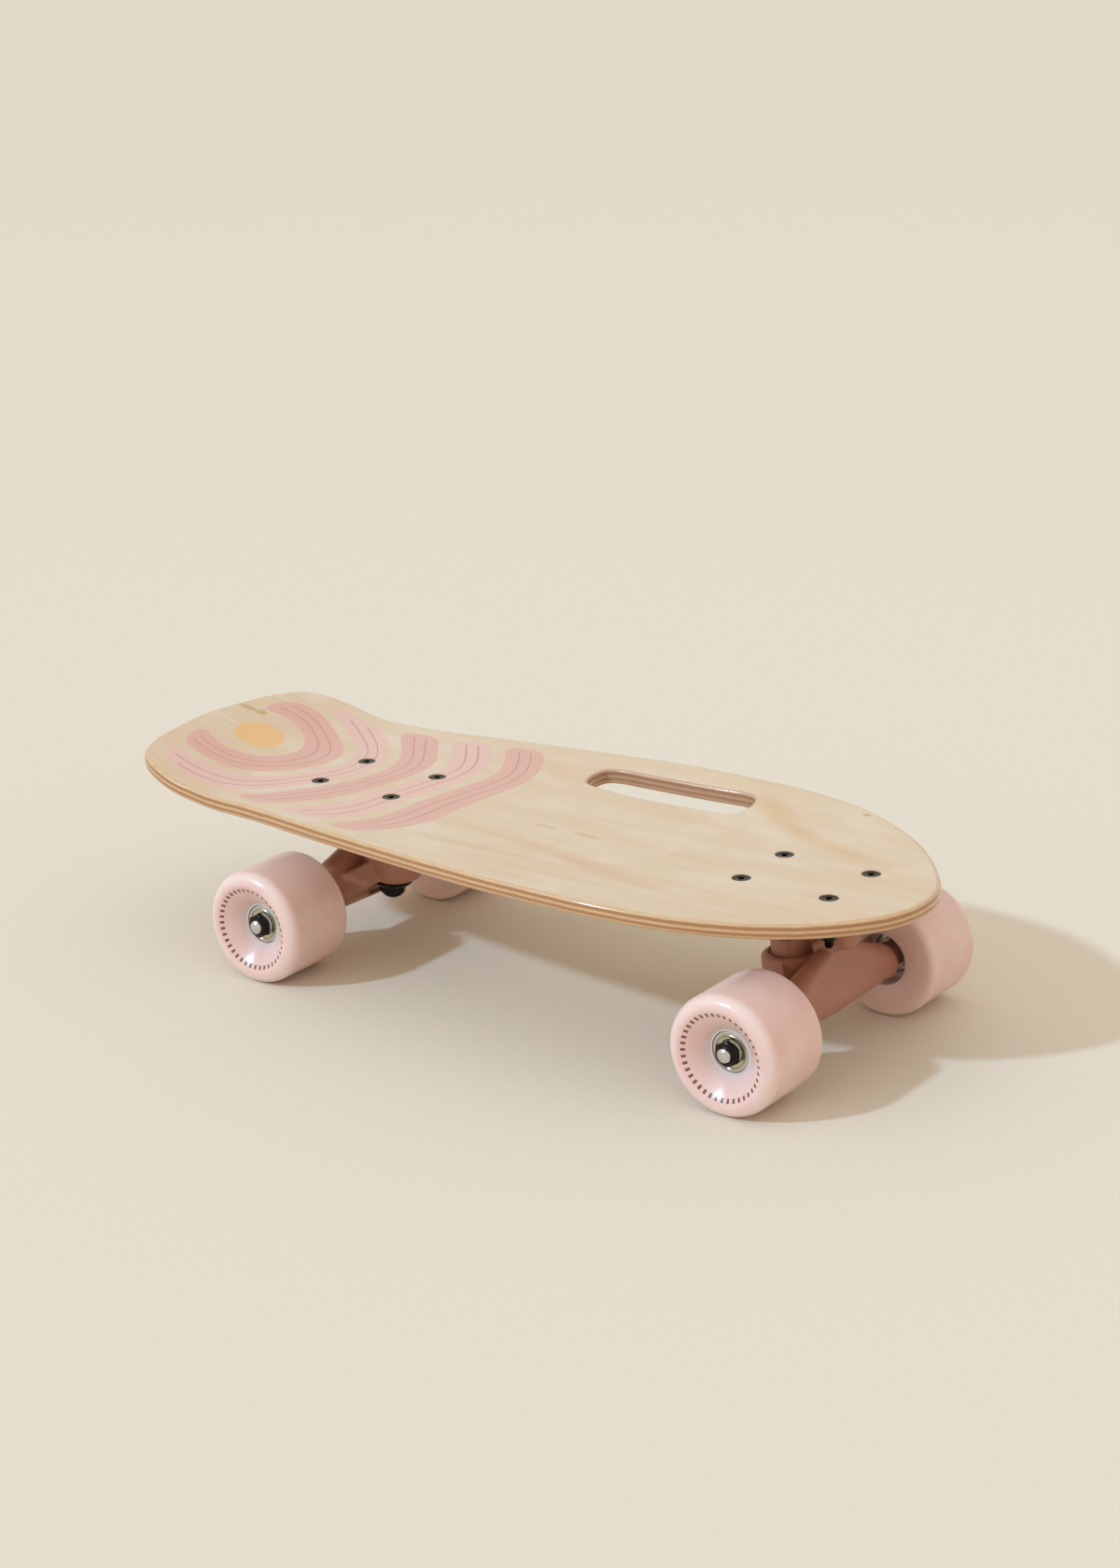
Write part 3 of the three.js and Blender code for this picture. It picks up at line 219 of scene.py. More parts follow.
def rounded(profile, radius, steps=3):
    """Profile with each inner corner rounded, as far as its neighbours leave room."""
    points = [np.array(p, float) for p in profile]
    made = [tuple(points[0])]
    for before, corner, after in zip(points, points[1:], points[2:]):
        to_before, to_after = before - corner, after - corner
        shorter = min(np.linalg.norm(to_before), np.linalg.norm(to_after))
        reach = min(radius, CORNER_SHARE * shorter)
        start = corner + to_before / np.linalg.norm(to_before) * reach
        end = corner + to_after / np.linalg.norm(to_after) * reach
        for k in range(steps + 1):
            t = k / steps
            made.append(tuple(start * (1 - t) ** 2 + corner * 2 * t * (1 - t) + end * t ** 2))
    made.append(tuple(points[-1]))
    return made


def rounded_ring(corners, radius):
    """Closed profile with every corner rounded."""
    return rounded(corners + corners[:2], radius)[1:-1]


def reach_at(turn, radius, height, shape):
    """Radius at one turn of a row, which may be a hexagon (width) or a thread (pitch, depth)."""
    if shape and shape[0] == "hexagon":
        return min(radius, shape[1] / 2 / math.cos((turn + math.pi / 6) % (math.pi / 3) - math.pi / 6))
    if shape and shape[0] == "thread":
        return radius - shape[2] * abs(2 * ((turn / 2 / math.pi - height / shape[1]) % 1) - 1)
    return radius


def turned(profile, sides):
    """Vertices and faces of a profile turned about Z. Ends on the axis are closed there, and a profile that
    stays off the axis closes on itself."""
    vertices, rows = [], []
    for radius, height, *shape in profile:
        if radius == 0:
            rows.append([len(vertices)] * sides)
            vertices.append((0, 0, height))
            continue
        rows.append(range(len(vertices), len(vertices) + sides))
        for k in range(sides):
            turn = 2 * math.pi * k / sides
            reach = reach_at(turn, radius, height, shape[0] if shape else None)
            vertices.append((reach * math.cos(turn), reach * math.sin(turn), height))
    if profile[0][0]:
        rows.append(rows[0])
    faces = []
    for low, high in zip(rows, rows[1:]):
        for k in range(sides):
            face = [low[k], low[(k + 1) % sides], high[(k + 1) % sides], high[k]]
            faces.append(list(dict.fromkeys(face)))
    return vertices, faces


def raised(profile, start, direction=1):
    """Profile moved to start at a height, and run up or down from there."""
    return [(radius, start + direction * height, *shape) for radius, height, *shape in profile]


def thread_rows(radius, start, end, pitch, depth, steps=6):
    """Rows of a thread from one height to another."""
    count = max(2, round(abs(end - start) / pitch * steps))
    return [(radius, start + (end - start) * k / count, ("thread", pitch, depth)) for k in range(count + 1)]


def axis_frame(origin, direction):
    """Frame whose Z runs along a direction."""
    turn = Vector(direction).to_track_quat("Z", "Y").to_matrix().to_4x4()
    return Matrix.Translation(origin) @ turn


def new_object(name, shapes, materials=()):
    """Object made of shapes (vertices, faces, frame), with its faces turned outwards."""
    vertices, faces = [], []
    for points, skin, place in shapes:
        start = len(vertices)
        vertices += [(place @ Vector(p)) * MM for p in points]
        faces += [[start + i for i in face] for face in skin]
    mesh = bpy.data.meshes.new(name)
    mesh.from_pydata(vertices, [], faces)
    face_outwards(mesh)
    mesh.set_sharp_from_angle(angle=SHARP_ANGLE)
    for material in materials:
        mesh.materials.append(material)
    return in_scene(name, mesh)


def plain_copy(source, name):
    """The object as its modifiers leave it, as a plain mesh."""
    depsgraph = bpy.context.evaluated_depsgraph_get()
    mesh = bpy.data.meshes.new_from_object(source.evaluated_get(depsgraph))
    mesh.name = name
    bpy.data.objects.remove(source)
    return in_scene(name, mesh)


def new_tree(name, sizes):
    """Geometry tree with named inputs, and its group input and output nodes."""
    tree = bpy.data.node_groups.new(name, "GeometryNodeTree")
    tree.interface.new_socket("Geometry", in_out="INPUT", socket_type="NodeSocketGeometry")
    for size, kind in sizes:
        tree.interface.new_socket(size, in_out="INPUT", socket_type=f"NodeSocket{kind}")
    tree.interface.new_socket("Geometry", in_out="OUTPUT", socket_type="NodeSocketGeometry")
    return tree, tree.nodes.new("NodeGroupInput").outputs, tree.nodes.new("NodeGroupOutput")


def worked(source, tree, values, name):
    """Runs a geometry tree on an object, with its named inputs set, and keeps the result as a plain mesh."""
    modifier = source.modifiers.new(tree.name, "NODES")
    modifier.node_group = tree
    for item in tree.interface.items_tree:
        if item.in_out == "INPUT" and item.name in values:
            modifier[item.identifier] = values[item.name]
    return plain_copy(source, name)


def hand_over(piece, body, slot, *nodes):
    """Gives a finished piece its body and hides the nodes that it stands for, if any. Its finish, the slot,
    is not used.
    """
    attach(piece, body)
    if nodes:
        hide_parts(*nodes)


# Materials

# Grain of the face veneer along, across and through it. Real pores are a tenth of a millimetre wide and
# fibres finer still, so both are drawn several times as coarse to show at all.
GRAIN_SIZES = {
    "streak": (130, 7, 60), "patch": (120, 40, 80), "cloud": (60, 30, 50), "fibre": (22, 1.1, 8),
    "pore": (4, 0.45, 2),
}
# Marks in the face veneer: centre, half sizes, turn in degrees, colour, strength
WOOD_MARKS = [
    ((-240, 25.5), (12, 3), 10, "#bc9048", 0.85), ((-232, 28.5), (4, 5), 30, "#bc9048", 0.85),
    ((111, 74), (30, 12), -38, "#d3a468", 0.5), ((139, 54), (30, 10), -30, "#d3a468", 0.5),
    ((176, 41), (44, 9), -17, "#d3a468", 0.45), ((62, -48), (90, 8), -11, "#cf9f70", 0.45),
    ((-6, -62), (60, 6), 3, "#cfa273", 0.35), ((17, -13), (12, 2.6), 0, "#b98b60", 0.5),
    ((45, -13), (14, 3), -4, "#b98b60", 0.5), ((161, 89), (4, 2.2), 0, "#86603c", 0.6),
]
PLY_WAVER = 0.7

# Print on the tail
SUN_CENTRE = (-214, 6)
SUN_RADIUS = 15
RIPPLE_START = 27
RIPPLE_PITCH = 31
RIPPLE_COUNT = 5
RIPPLE_SWAY = 26
RIPPLE_SWAY_LENGTH = 75
RIPPLE_BREADTH_SHARE = 0.74
LINE_SHARES = (0.35, 0.65)
LINE_HALF_BREADTH_SHARE = 0.014
LINE_END_SHARE = 0.6
PRINT_MARGIN = 11
END_ROUNDING = 9
PRINT_WEAR = 0.25

# Ring of ticks on a wheel's outer face
MARK_RADIUS = 23
MARK_HALF_BREADTH = 1.1
MARK_COUNT = 40
MARK_SHARE = 0.42
MARKS_START = 90

# Painted glow of a wheel, paler tones that stand in for light spreading through the urethane near its edges
# and round the bearing seat: name, measure, where it sets in, where it is full, strength
WHEEL_PAINTED_GLOWS = [
    ("by rim", "radius", 25, 31, 0.55), ("by outer face", "side", 94, 100, 1),
    ("by inner face", "side", 60, 55.5, 0.45), ("glow by seat", "radius", 15.5, 12.8, 0.55),
]


def new_material(name, **fields):
    """New material, its node tree, its object coordinates and a noise texture for each field. A field is its
    size in millimetres, one for all axes or one for each, then its detail, roughness and distortion."""
    material = bpy.data.materials.new(name)
    material.use_nodes = True
    tree = material.node_tree
    tree.nodes.clear()
    place = node(tree, "ShaderNodeTexCoord").outputs["Object"]
    noise = {}
    for field, (size, *rest) in fields.items():
        scale = [1 / (s * MM) for s in np.broadcast_to(size, 3)]
        stretched = node(tree, "ShaderNodeMapping", {"Vector": place, "Scale": scale})
        noise[field] = node(tree, "ShaderNodeTexNoise", {
            "Vector": stretched, "Scale": 1.0, **dict(zip(("Detail", "Roughness", "Distortion"), rest)),
        })
    return material, tree, place, noise


def layered(tree, colour, layers):
    """Colour with tones laid over it, each by an amount, which two grey stops may take from a field."""
    for amount, tone, *stops in layers:
        if stops:
            amount = node(tree, "ShaderNodeValToRGB", {"Fac": amount}, ramp=stops)
        tone = paint(tone) if isinstance(tone, str) else tone
        colour = node(tree, "ShaderNodeMix", {0: amount, 6: colour, 7: tone}, data_type="RGBA")
    return colour


def surfaced(material, tree, colour, rough, relief, **shader):
    """Finishes a material. Its roughness is one value, or a field and the levels between which it moves; its
    relief is a field, a strength and a height in millimetres."""
    if isinstance(rough, tuple):
        field, low, high = rough
        rough = node(tree, "ShaderNodeMapRange", {
            "Value": field, "From Min": 0.3, "From Max": 0.7, "To Min": low, "To Max": high,
        })
    field, strength, height = relief
    bump = node(tree, "ShaderNodeBump", {"Height": field, "Strength": strength, "Distance": height * MM})
    shader = {name.replace("_", " "): value for name, value in shader.items()}
    surface = node(tree, "ShaderNodeBsdfPrincipled", {
        "Base Color": colour, "Roughness": rough, "Normal": bump, **shader,
    })
    node(tree, "ShaderNodeOutputMaterial", {"Surface": surface})
    return material


def printed(tree, wood, place, sway, speckle):
    """Printed ripples and sun over the wood colour, on the top face alone."""
    values = add_rows(tree, "ShaderNodeVectorMath", {"place": place, "sway": sway, "speckle": speckle}, [
        ("centred", "SUBTRACT", "place", (SUN_CENTRE[0] * MM, SUN_CENTRE[1] * MM, 0)),
        ("flat", "MULTIPLY", "centred", (1 / MM, 1 / MM, 0)),
        ("far", "LENGTH", "flat"),
    ])
    for name in ("depth", "margin"):
        values[name] = node(tree, "ShaderNodeAttribute", attribute_name=name).outputs["Fac"]
    half_breadth = RIPPLE_BREADTH_SHARE * RIPPLE_PITCH / 2
    add_rows(tree, "ShaderNodeMath", values, [
        ("swayed", "MULTIPLY_ADD", "sway", RIPPLE_SWAY, "far"),
        ("run", "SUBTRACT", "swayed", RIPPLE_SWAY / 2 + RIPPLE_START),
        ("place in run", "DIVIDE", "run", RIPPLE_PITCH),
        ("share", "FRACT", "place in run"),
        ("number", "FLOOR", "place in run"),
        ("after start", "GREATER_THAN", "run", 0),
        ("before end", "LESS_THAN", "number", RIPPLE_COUNT),
        ("in run", "MULTIPLY", "after start", "before end"),
        ("on top", "LESS_THAN", "depth", 0.5),
        ("off middle", "SUBTRACT", "share", RIPPLE_BREADTH_SHARE / 2),
        ("across", "ABSOLUTE", "off middle"),
        ("past core", "MULTIPLY_ADD", "across", RIPPLE_PITCH, END_ROUNDING - half_breadth),
        ("side part", "MAXIMUM", "past core", 0),
        ("past end", "SUBTRACT", PRINT_MARGIN + END_ROUNDING, "margin"),
        ("end part", "MAXIMUM", "past end", 0),
        ("side squared", "MULTIPLY", "side part", "side part"),
        ("corner squared", "MULTIPLY_ADD", "end part", "end part", "side squared"),
        ("in band", "LESS_THAN", "corner squared", END_ROUNDING ** 2),
        ("band on top", "MULTIPLY", "in band", "on top"),
        ("ripple", "MULTIPLY", "in run", "band on top"),
        ("line one", "COMPARE", "share", RIPPLE_BREADTH_SHARE * LINE_SHARES[0], LINE_HALF_BREADTH_SHARE),
        ("line two", "COMPARE", "share", RIPPLE_BREADTH_SHARE * LINE_SHARES[1], LINE_HALF_BREADTH_SHARE),
        ("either line", "MAXIMUM", "line one", "line two"),
        ("off edge", "GREATER_THAN", "margin", PRINT_MARGIN + END_ROUNDING * LINE_END_SHARE),
        ("line", "MULTIPLY", "either line", "off edge"),
        ("odd", "PINGPONG", "number", 1),
        ("in sun", "LESS_THAN", "far", SUN_RADIUS),
        ("sun", "MULTIPLY", "in sun", "on top"),
        ("worn", "MULTIPLY_ADD", "speckle", -PRINT_WEAR, 1.0),
        ("ripple ink", "MULTIPLY", "ripple", "worn"),
        ("sun ink", "MULTIPLY", "sun", "worn"),
    ])
    ink = layered(tree, paint("#dba69c"), [(values["odd"], "#e2b9b0"), (values["line"], "#bd8074")])
    return layered(tree, wood, [(values["ripple ink"], ink), (values["sun ink"], "#e9b873")])


def lacquered_birch_face():
    """Pale birch veneer, peeled and sanded, under clear satin lacquer: long soft streaks, peach patches a few
    centimetres wide, short fine pores and a few brown mineral marks, with a soft sheen at a low angle. The
    tail carries a printed pattern of ripples round a sun, thin enough to let the grain through."""
    grain = {name: (size, 5.0, 0.55, 0.35) for name, size in GRAIN_SIZES.items()}
    material, tree, place, noise = new_material(
        "lacquered_birch_face", sway=(RIPPLE_SWAY_LENGTH, 0.0), **grain,
    )
    wood = node(tree, "ShaderNodeValToRGB", {"Fac": noise["streak"]}, ramp=[
        (0.28, "#d7c0a2"), (0.45, "#dac5a8"), (0.60, "#ddc9ad"), (0.78, "#e0ceb5"),
    ])
    wood = layered(tree, wood, [
        (noise["patch"], "#dcb592", (0.48, 0), (0.70, 0.5)),
        (noise["cloud"], "#e3d5c2", (0.34, 0.6), (0.5, 0)),
        (noise["cloud"], "#d9ba90", (0.56, 0), (0.72, 0.35)),
        (noise["fibre"], "#bd9d77", (0.48, 0), (0.75, 0.12)),
        (noise["pore"], "#ab875f", (0.58, 0), (0.72, 0.3)),
    ])
    for centre, size, turn, colour, strength in WOOD_MARKS:
        around = node(tree, "ShaderNodeMapping", {
            "Vector": place, "Location": (*[c * MM for c in centre], 0),
            "Rotation": (0, 0, math.radians(turn)), "Scale": (*[s * MM for s in size], 1),
        }, vector_type="TEXTURE")
        flat = node(tree, "ShaderNodeVectorMath", {0: around, 1: (1, 1, 0)}, operation="MULTIPLY")
        far = node(tree, "ShaderNodeVectorMath", {0: flat}, operation="LENGTH")
        rough = node(tree, "ShaderNodeMath", {0: noise["fibre"], 1: 0.9, 2: far}, operation="MULTIPLY_ADD")
        spot = node(tree, "ShaderNodeMapRange", {
            "Value": rough, "From Min": 0.55, "From Max": 1.5, "To Min": strength, "To Max": 0.0,
        })
        wood = layered(tree, wood, [(spot, colour)])
    wood = printed(tree, wood, place, noise["sway"], noise["pore"])
    relief = node(tree, "ShaderNodeMath", {0: noise["fibre"], 1: noise["pore"]}, operation="ADD")
    return surfaced(
        material, tree, wood, (noise["fibre"], 0.30, 0.40), (relief, 0.06, 0.1), IOR=1.5, Coat_Weight=0.5,
        Coat_Roughness=0.16,
    )


def lacquered_ply_edge():
    """Sanded edge of five birch plies under the same lacquer: pale and brown bands by depth, the brown ones
    end grain with fine dark flecks, the pale ones with long streaks, darker and pinker on the walls of the
    hand slot, and a clear glint along the rounding. The flecks are drawn about four times as coarse as real
    ones, so that they show."""
    material, tree, _, noise = new_material(
        "lacquered_ply_edge", waver=(14, 2.0), speck=(0.8, 3.0, 0.7), streak=((9, 9, 0.35), 3.0),
    )
    depth = node(tree, "ShaderNodeAttribute", attribute_name="depth").outputs["Fac"]
    margin = node(tree, "ShaderNodeAttribute", attribute_name="margin").outputs["Fac"]
    shifted = node(tree, "ShaderNodeMath", {
        0: noise["waver"], 1: PLY_WAVER, 2: depth,
    }, operation="MULTIPLY_ADD")
    share = node(tree, "ShaderNodeMapRange", {
        "Value": shifted, "From Min": PLY_WAVER / 2, "From Max": PLY_WAVER / 2 + DECK_THICKNESS,
    })
    pale, brown = "#dab88c", "#a87546"
    bands = node(tree, "ShaderNodeValToRGB", {"Fac": share}, ramp=[
        (0.0, "#dcc19a"), (0.15, pale), (0.19, brown), (0.37, brown), (0.40, pale), (0.54, pale),
        (0.58, brown), (0.73, brown), (0.77, pale), (1.0, "#c89f6f"),
    ])
    # Darker, pinker tone on the walls of the hand slot, away from the rim
    in_slot = node(tree, "ShaderNodeMapRange", {
        "Value": margin, "From Min": 8.0, "From Max": 12.0, "To Max": 0.4,
    })
    colour = layered(tree, bands, [
        (noise["speck"], "#8a5a30", (0.5, 0), (0.75, 0.45)),
        (noise["streak"], "#b98a58", (0.4, 0.3), (0.65, 0)),
        (in_slot, "#a98576"),
    ])
    return surfaced(
        material, tree, colour, 0.42, (noise["streak"], 0.15, 0.1), IOR=1.5, Coat_Weight=0.8,
        Coat_Roughness=0.14,
    )


def truck_enamel():
    """Die-cast aluminium sprayed with dusty pink satin enamel: a faint orange peel about a millimetre across,
    a little cloudiness in the colour, and soft broad highlights."""
    material, tree, _, noise = new_material("truck_enamel", cloud=(22, 3.0), peel=(1.1, 1.0))
    colour = node(tree, "ShaderNodeValToRGB", {"Fac": noise["cloud"]}, ramp=[
        (0.3, "#a97360"), (0.7, "#b27e6c"),
    ])
    rough, relief = (noise["cloud"], 0.36, 0.46), (noise["peel"], 0.12, 0.12)
    return surfaced(material, tree, colour, rough, relief, IOR=1.5)


def wheel_urethane(name, centre):
    """Cast urethane, pale pink and a little see-through: light spreads inside it, and the paler edges and the
    pale ring round the bearing seat are painted glow that stands in for that light. The skin is glossy from
    the mould with fine turning lines on the tread, and a ring of plain printed ticks runs round the outer
    face. The turning lines are 0.5 mm apart, coarser than the cutter's own, so that they show."""
    material, tree, place, noise = new_material(name, cloud=(18, 2.0), lines=((40, 0.5, 40), 1.0))
    moved = node(tree, "ShaderNodeVectorMath", {0: place, 1: [c * MM for c in centre]}, operation="SUBTRACT")
    split = node(tree, "ShaderNodeSeparateXYZ", {0: moved}).outputs
    values = add_rows(tree, "ShaderNodeMath", {"x": split["X"], "y": split["Y"], "z": split["Z"]}, [
        ("xx", "MULTIPLY", "x", "x"),
        ("rr", "MULTIPLY_ADD", "z", "z", "xx"),
        ("radius", "SQRT", "rr"),
        ("on ring", "COMPARE", "radius", MARK_RADIUS * MM, MARK_HALF_BREADTH * MM),
        ("turn", "ARCTAN2", "z", "x"),
        ("count", "MULTIPLY", "turn", MARK_COUNT / (2 * math.pi)),
        ("tick", "FRACT", "count"),
        ("on tick", "LESS_THAN", "tick", MARK_SHARE),
        ("side", "ABSOLUTE", "y"),
        ("outside", "GREATER_THAN", "side", MARKS_START * MM),
        ("ring tick", "MULTIPLY", "on ring", "on tick"),
        ("mark", "MULTIPLY", "ring tick", "outside"),
    ])
    for name, source, start, end, most in WHEEL_PAINTED_GLOWS:
        values[name] = node(tree, "ShaderNodeMapRange", {
            "Value": values[source], "From Min": start * MM, "From Max": end * MM, "To Max": most,
        }, interpolation_type="SMOOTHSTEP")
    add_rows(tree, "ShaderNodeMath", values, [
        ("by face", "MAXIMUM", "by outer face", "by inner face"),
        ("by edge", "MULTIPLY", "by face", "by rim"),
    ])
    body = node(tree, "ShaderNodeValToRGB", {"Fac": noise["cloud"]}, ramp=[
        (0.3, "#e5c5be"), (0.7, "#eacfc9"),
    ])
    # Painted glow: the paler tones at the edges and round the bearing seat stand in for light spreading
    # through the urethane; the ticks are print
    colour = layered(tree, body, [
        (values["by edge"], "#f0e3dd"), (values["glow by seat"], "#dcd6d6"), (values["mark"], "#7d5048"),
    ])
    return surfaced(
        material, tree, colour, 0.24, (noise["lines"], 0.05, 0.1), IOR=1.5, Subsurface_Weight=0.65,
        Subsurface_Radius=(1.0, 0.5, 0.4), Subsurface_Scale=4 * MM,
    )


def simple_finish(name, tones, drift, rough, grain, relief, **shader):
    """Finish whose two close tones and roughness drift over one size, with a fine relief of another size. The
    real grain of these finishes is too fine for the picture, so the relief is a few times as coarse."""
    material, tree, _, noise = new_material(name, drift=(drift, 3.0), fine=(grain, 2.0))
    colour = node(tree, "ShaderNodeValToRGB", {"Fac": noise["drift"]}, ramp=[
        (0.32, tones[0]), (0.68, tones[1]),
    ])
    return surfaced(material, tree, colour, (noise["drift"], *rough), (noise["fine"], relief, 0.1), **shader)


BIRCH_FACE = lacquered_birch_face()
PLY_EDGE = lacquered_ply_edge()
ENAMEL = truck_enamel()
# Cast urethane of the bushings: satin, a shade deeper than the wheels
BUSHING = simple_finish(
    "bushing_urethane", ("#ac7664", "#b58070"), drift=9, rough=(0.38, 0.5), grain=0.7, relief=0.1, IOR=1.5,
)
# Moulded acetal cup: matt black with a faint pebble
ACETAL = simple_finish(
    "moulded_acetal", ("#201e1e", "#2a2727"), drift=6, rough=(0.5, 0.62), grain=0.5, relief=0.15, IOR=1.48,
)
# Oiled black oxide on steel: near black, satin, with small drifts of gloss from the bath
BLACK_OXIDE = simple_finish(
    "black_oxide_steel", ("#1a1918", "#262423"), drift=3, rough=(0.24, 0.36), grain=0.4, relief=0.08,
    Metallic=0.75,
)
# Bright zinc plate on turned steel: pale silver with a soft brushed glint
ZINC_PLATE = simple_finish(
    "bright_zinc_steel", ("#c9c8c5", "#d8d7d4"), drift=4, rough=(0.2, 0.3), grain=0.25, relief=0.1,
    Metallic=1.0,
)
# Ground bearing steel: clean silver with a soft mirror gleam
BEARING_STEEL = simple_finish(
    "ground_bearing_steel", ("#c4c3c0", "#d0cfcc"), drift=5, rough=(0.2, 0.28), grain=0.3, relief=0.04,
    Metallic=1.0,
)
# Yellow zinc on the pressed bearing shield: brassy, with a soft gleam
SHIELD = simple_finish(
    "yellow_zinc_shield", ("#c5bd9f", "#d2cbb2"), drift=4, rough=(0.26, 0.36), grain=0.4, relief=0.06,
    Metallic=1.0,
)


# Deck

RIM_SPACING = 3
SLOT_SPACING = 2
NET_SPACING = 3.6
NET_CLEARANCE = 1.7
ROUNDING_STEPS = 6
WALL_STEPS = 4
HOLE_SIDES = 40
HOLE_MOUTH = BOLT_HEAD_RADIUS + 0.1
HOLE_STEPS = [
    (HOLE_MOUTH + 0.35, 0), (HOLE_MOUTH + 0.1, 0.07), (HOLE_MOUTH, 0.25), (HOLE_MOUTH, 0.7),
    (BOLT_RADIUS + GAP, 3), (BOLT_RADIUS + GAP, DECK_THICKNESS),
]


def wall_steps(top, bottom):
    """Steps (inset, depth) from the top face round a rounded edge to the underside."""
    low = DECK_THICKNESS - bottom
    middle = [(0, depth) for depth in np.linspace(top, low, WALL_STEPS + 2)[1:-1]]
    return (
        arc((top, top), (-top, -top), 90, 0, ROUNDING_STEPS) + middle
        + arc((bottom, low), (-bottom, bottom), 0, 90, ROUNDING_STEPS)
    )


def deck_walls():
    """Walls of the flat panel, each a list of (outline, depth) from the top face down: the rim, the hand slot
    and the eight bolt holes."""
    half = [(x * DECK_LENGTH / 2, y * DECK_WIDTH / 2) for x, y in DECK_OUTLINE_SHARES]
    rim = smooth_loop(half + [(x, -y) for x, y in reversed(half[1:-1])], RIM_SPACING)
    slot = smooth_loop([
        (SLOT_CENTRE[0] + x * SLOT_LENGTH / 2, SLOT_CENTRE[1] + y * SLOT_WIDTH / 2)
        for x, y in reversed(SLOT_OUTLINE_SHARES)
    ], SLOT_SPACING)
    walls = [
        [(offset_loop(loop, side * inset), depth) for inset, depth in wall_steps(top, bottom)]
        for loop, side, top, bottom in (
            (rim, -1, DECK_EDGE_RADIUS, DECK_EDGE_RADIUS), (slot, 1, SLOT_TOP_ROUNDING, SLOT_BOTTOM_ROUNDING),
        )
    ]
    turn = np.arange(HOLE_SIDES) * 2 * math.pi / HOLE_SIDES
    for truck_x in (FRONT_TRUCK_X, REAR_TRUCK_X):
        for x, y in BOLT_PLACES:
            walls.append([
                (np.column_stack([truck_x + x + radius * np.cos(turn), y + radius * np.sin(turn)]), depth)
                for radius, depth in HOLE_STEPS
            ])
    return rim, walls


def inside(loop, point):
    """Whether a point lies inside a closed outline."""
    (x0, y0), (x1, y1) = loop.T, np.roll(loop, -1, axis=0).T
    crossing = (y0 > point[1]) != (y1 > point[1])
    place = x0 + (point[1] - y0) * (x1 - x0) / np.where(y1 == y0, 1, y1 - y0)
    return np.count_nonzero(crossing & (place > point[0])) % 2 == 1


def face_net(outlines):
    """Fine even net between the first outline and the openings inside it: the net's own points, and triangles
    that number the outlines' points first."""
    xs = np.arange(-DECK_LENGTH / 2, DECK_LENGTH / 2, NET_SPACING)
    ys = np.arange(-DECK_WIDTH / 2, DECK_WIDTH / 2, NET_SPACING)
    net = [(x + (row % 2) * NET_SPACING / 2, y) for row, y in enumerate(ys) for x in xs]
    border = np.concatenate(outlines)
    inner = [p for p in net if np.min(np.sum((border - p) ** 2, axis=1)) > NET_CLEARANCE ** 2]
    points = [tuple(p) for p in border] + inner
    edges, start = [], 0
    for outline in outlines:
        count = len(outline)
        edges += [(start + k, start + (k + 1) % count) for k in range(count)]
        start += count
    # Output type 1 keeps the triangles inside the outlines alone
    _, _, triangles, source, _, _ = delaunay_2d_cdt([Vector(p) for p in points], edges, [], 1, 1e-5)
    faces = []
    for triangle in triangles:
        face = [source[i][0] for i in triangle]
        middle = np.mean([points[i] for i in face], axis=0)
        if not any(inside(opening, middle) for opening in outlines[1:]):
            faces.append(face)
    return inner, faces


def deck_panel():
    """Flat deck panel with its holes: rings down each wall and a net across both faces. Each point keeps its
    depth under the top face and its distance from the rim, for the plies and the print."""
    rim, walls = deck_walls()
    points, depths, faces = [], [], []
    tops, bottoms = [], []
    for wall in walls:
        rows = []
        for loop, depth in wall:
            rows.append(list(range(len(points), len(points) + len(loop))))
            points.extend(map(tuple, loop))
            depths.extend([depth] * len(loop))
        tops.append(rows[0])
        bottoms.append(rows[-1])
        for high, low in zip(rows, rows[1:]):
            for k in range(len(high)):
                after = (k + 1) % len(high)
                faces.append((high[k], low[k], low[after], high[after]))
    wall_count = len(faces)
    for loops, depth in ((tops, 0), (bottoms, DECK_THICKNESS)):
        inner, triangles = face_net([np.array([points[i] for i in loop]) for loop in loops])
        ids = sum(loops, []) + list(range(len(points), len(points) + len(inner)))
        points.extend(inner)
        depths.extend([depth] * len(inner))
        faces += [[ids[i] for i in face] for face in triangles]
    used = sorted({i for face in faces for i in face})
    renumber = {i: k for k, i in enumerate(used)}
    mesh = bpy.data.meshes.new("deck_panel")
    mesh.from_pydata(
        [(points[i][0] * MM, points[i][1] * MM, -depths[i] * MM) for i in used], [],
        [[renumber[i] for i in face] for face in faces],
    )
    margins = [math.sqrt(np.min(np.sum((rim - points[i]) ** 2, axis=1))) for i in used]
    for name, kind, values in (
        ("depth", "POINT", [depths[i] for i in used]), ("margin", "POINT", margins),
        ("wall", "FACE", [1] * wall_count + [0] * (len(faces) - wall_count)),
    ):
        mesh.attributes.new(name, "FLOAT", kind).data.foreach_set("value", values)
    face_outwards(mesh)
    mesh.materials.append(BIRCH_FACE)
    mesh.materials.append(PLY_EDGE)
    return in_scene("deck_panel", mesh)


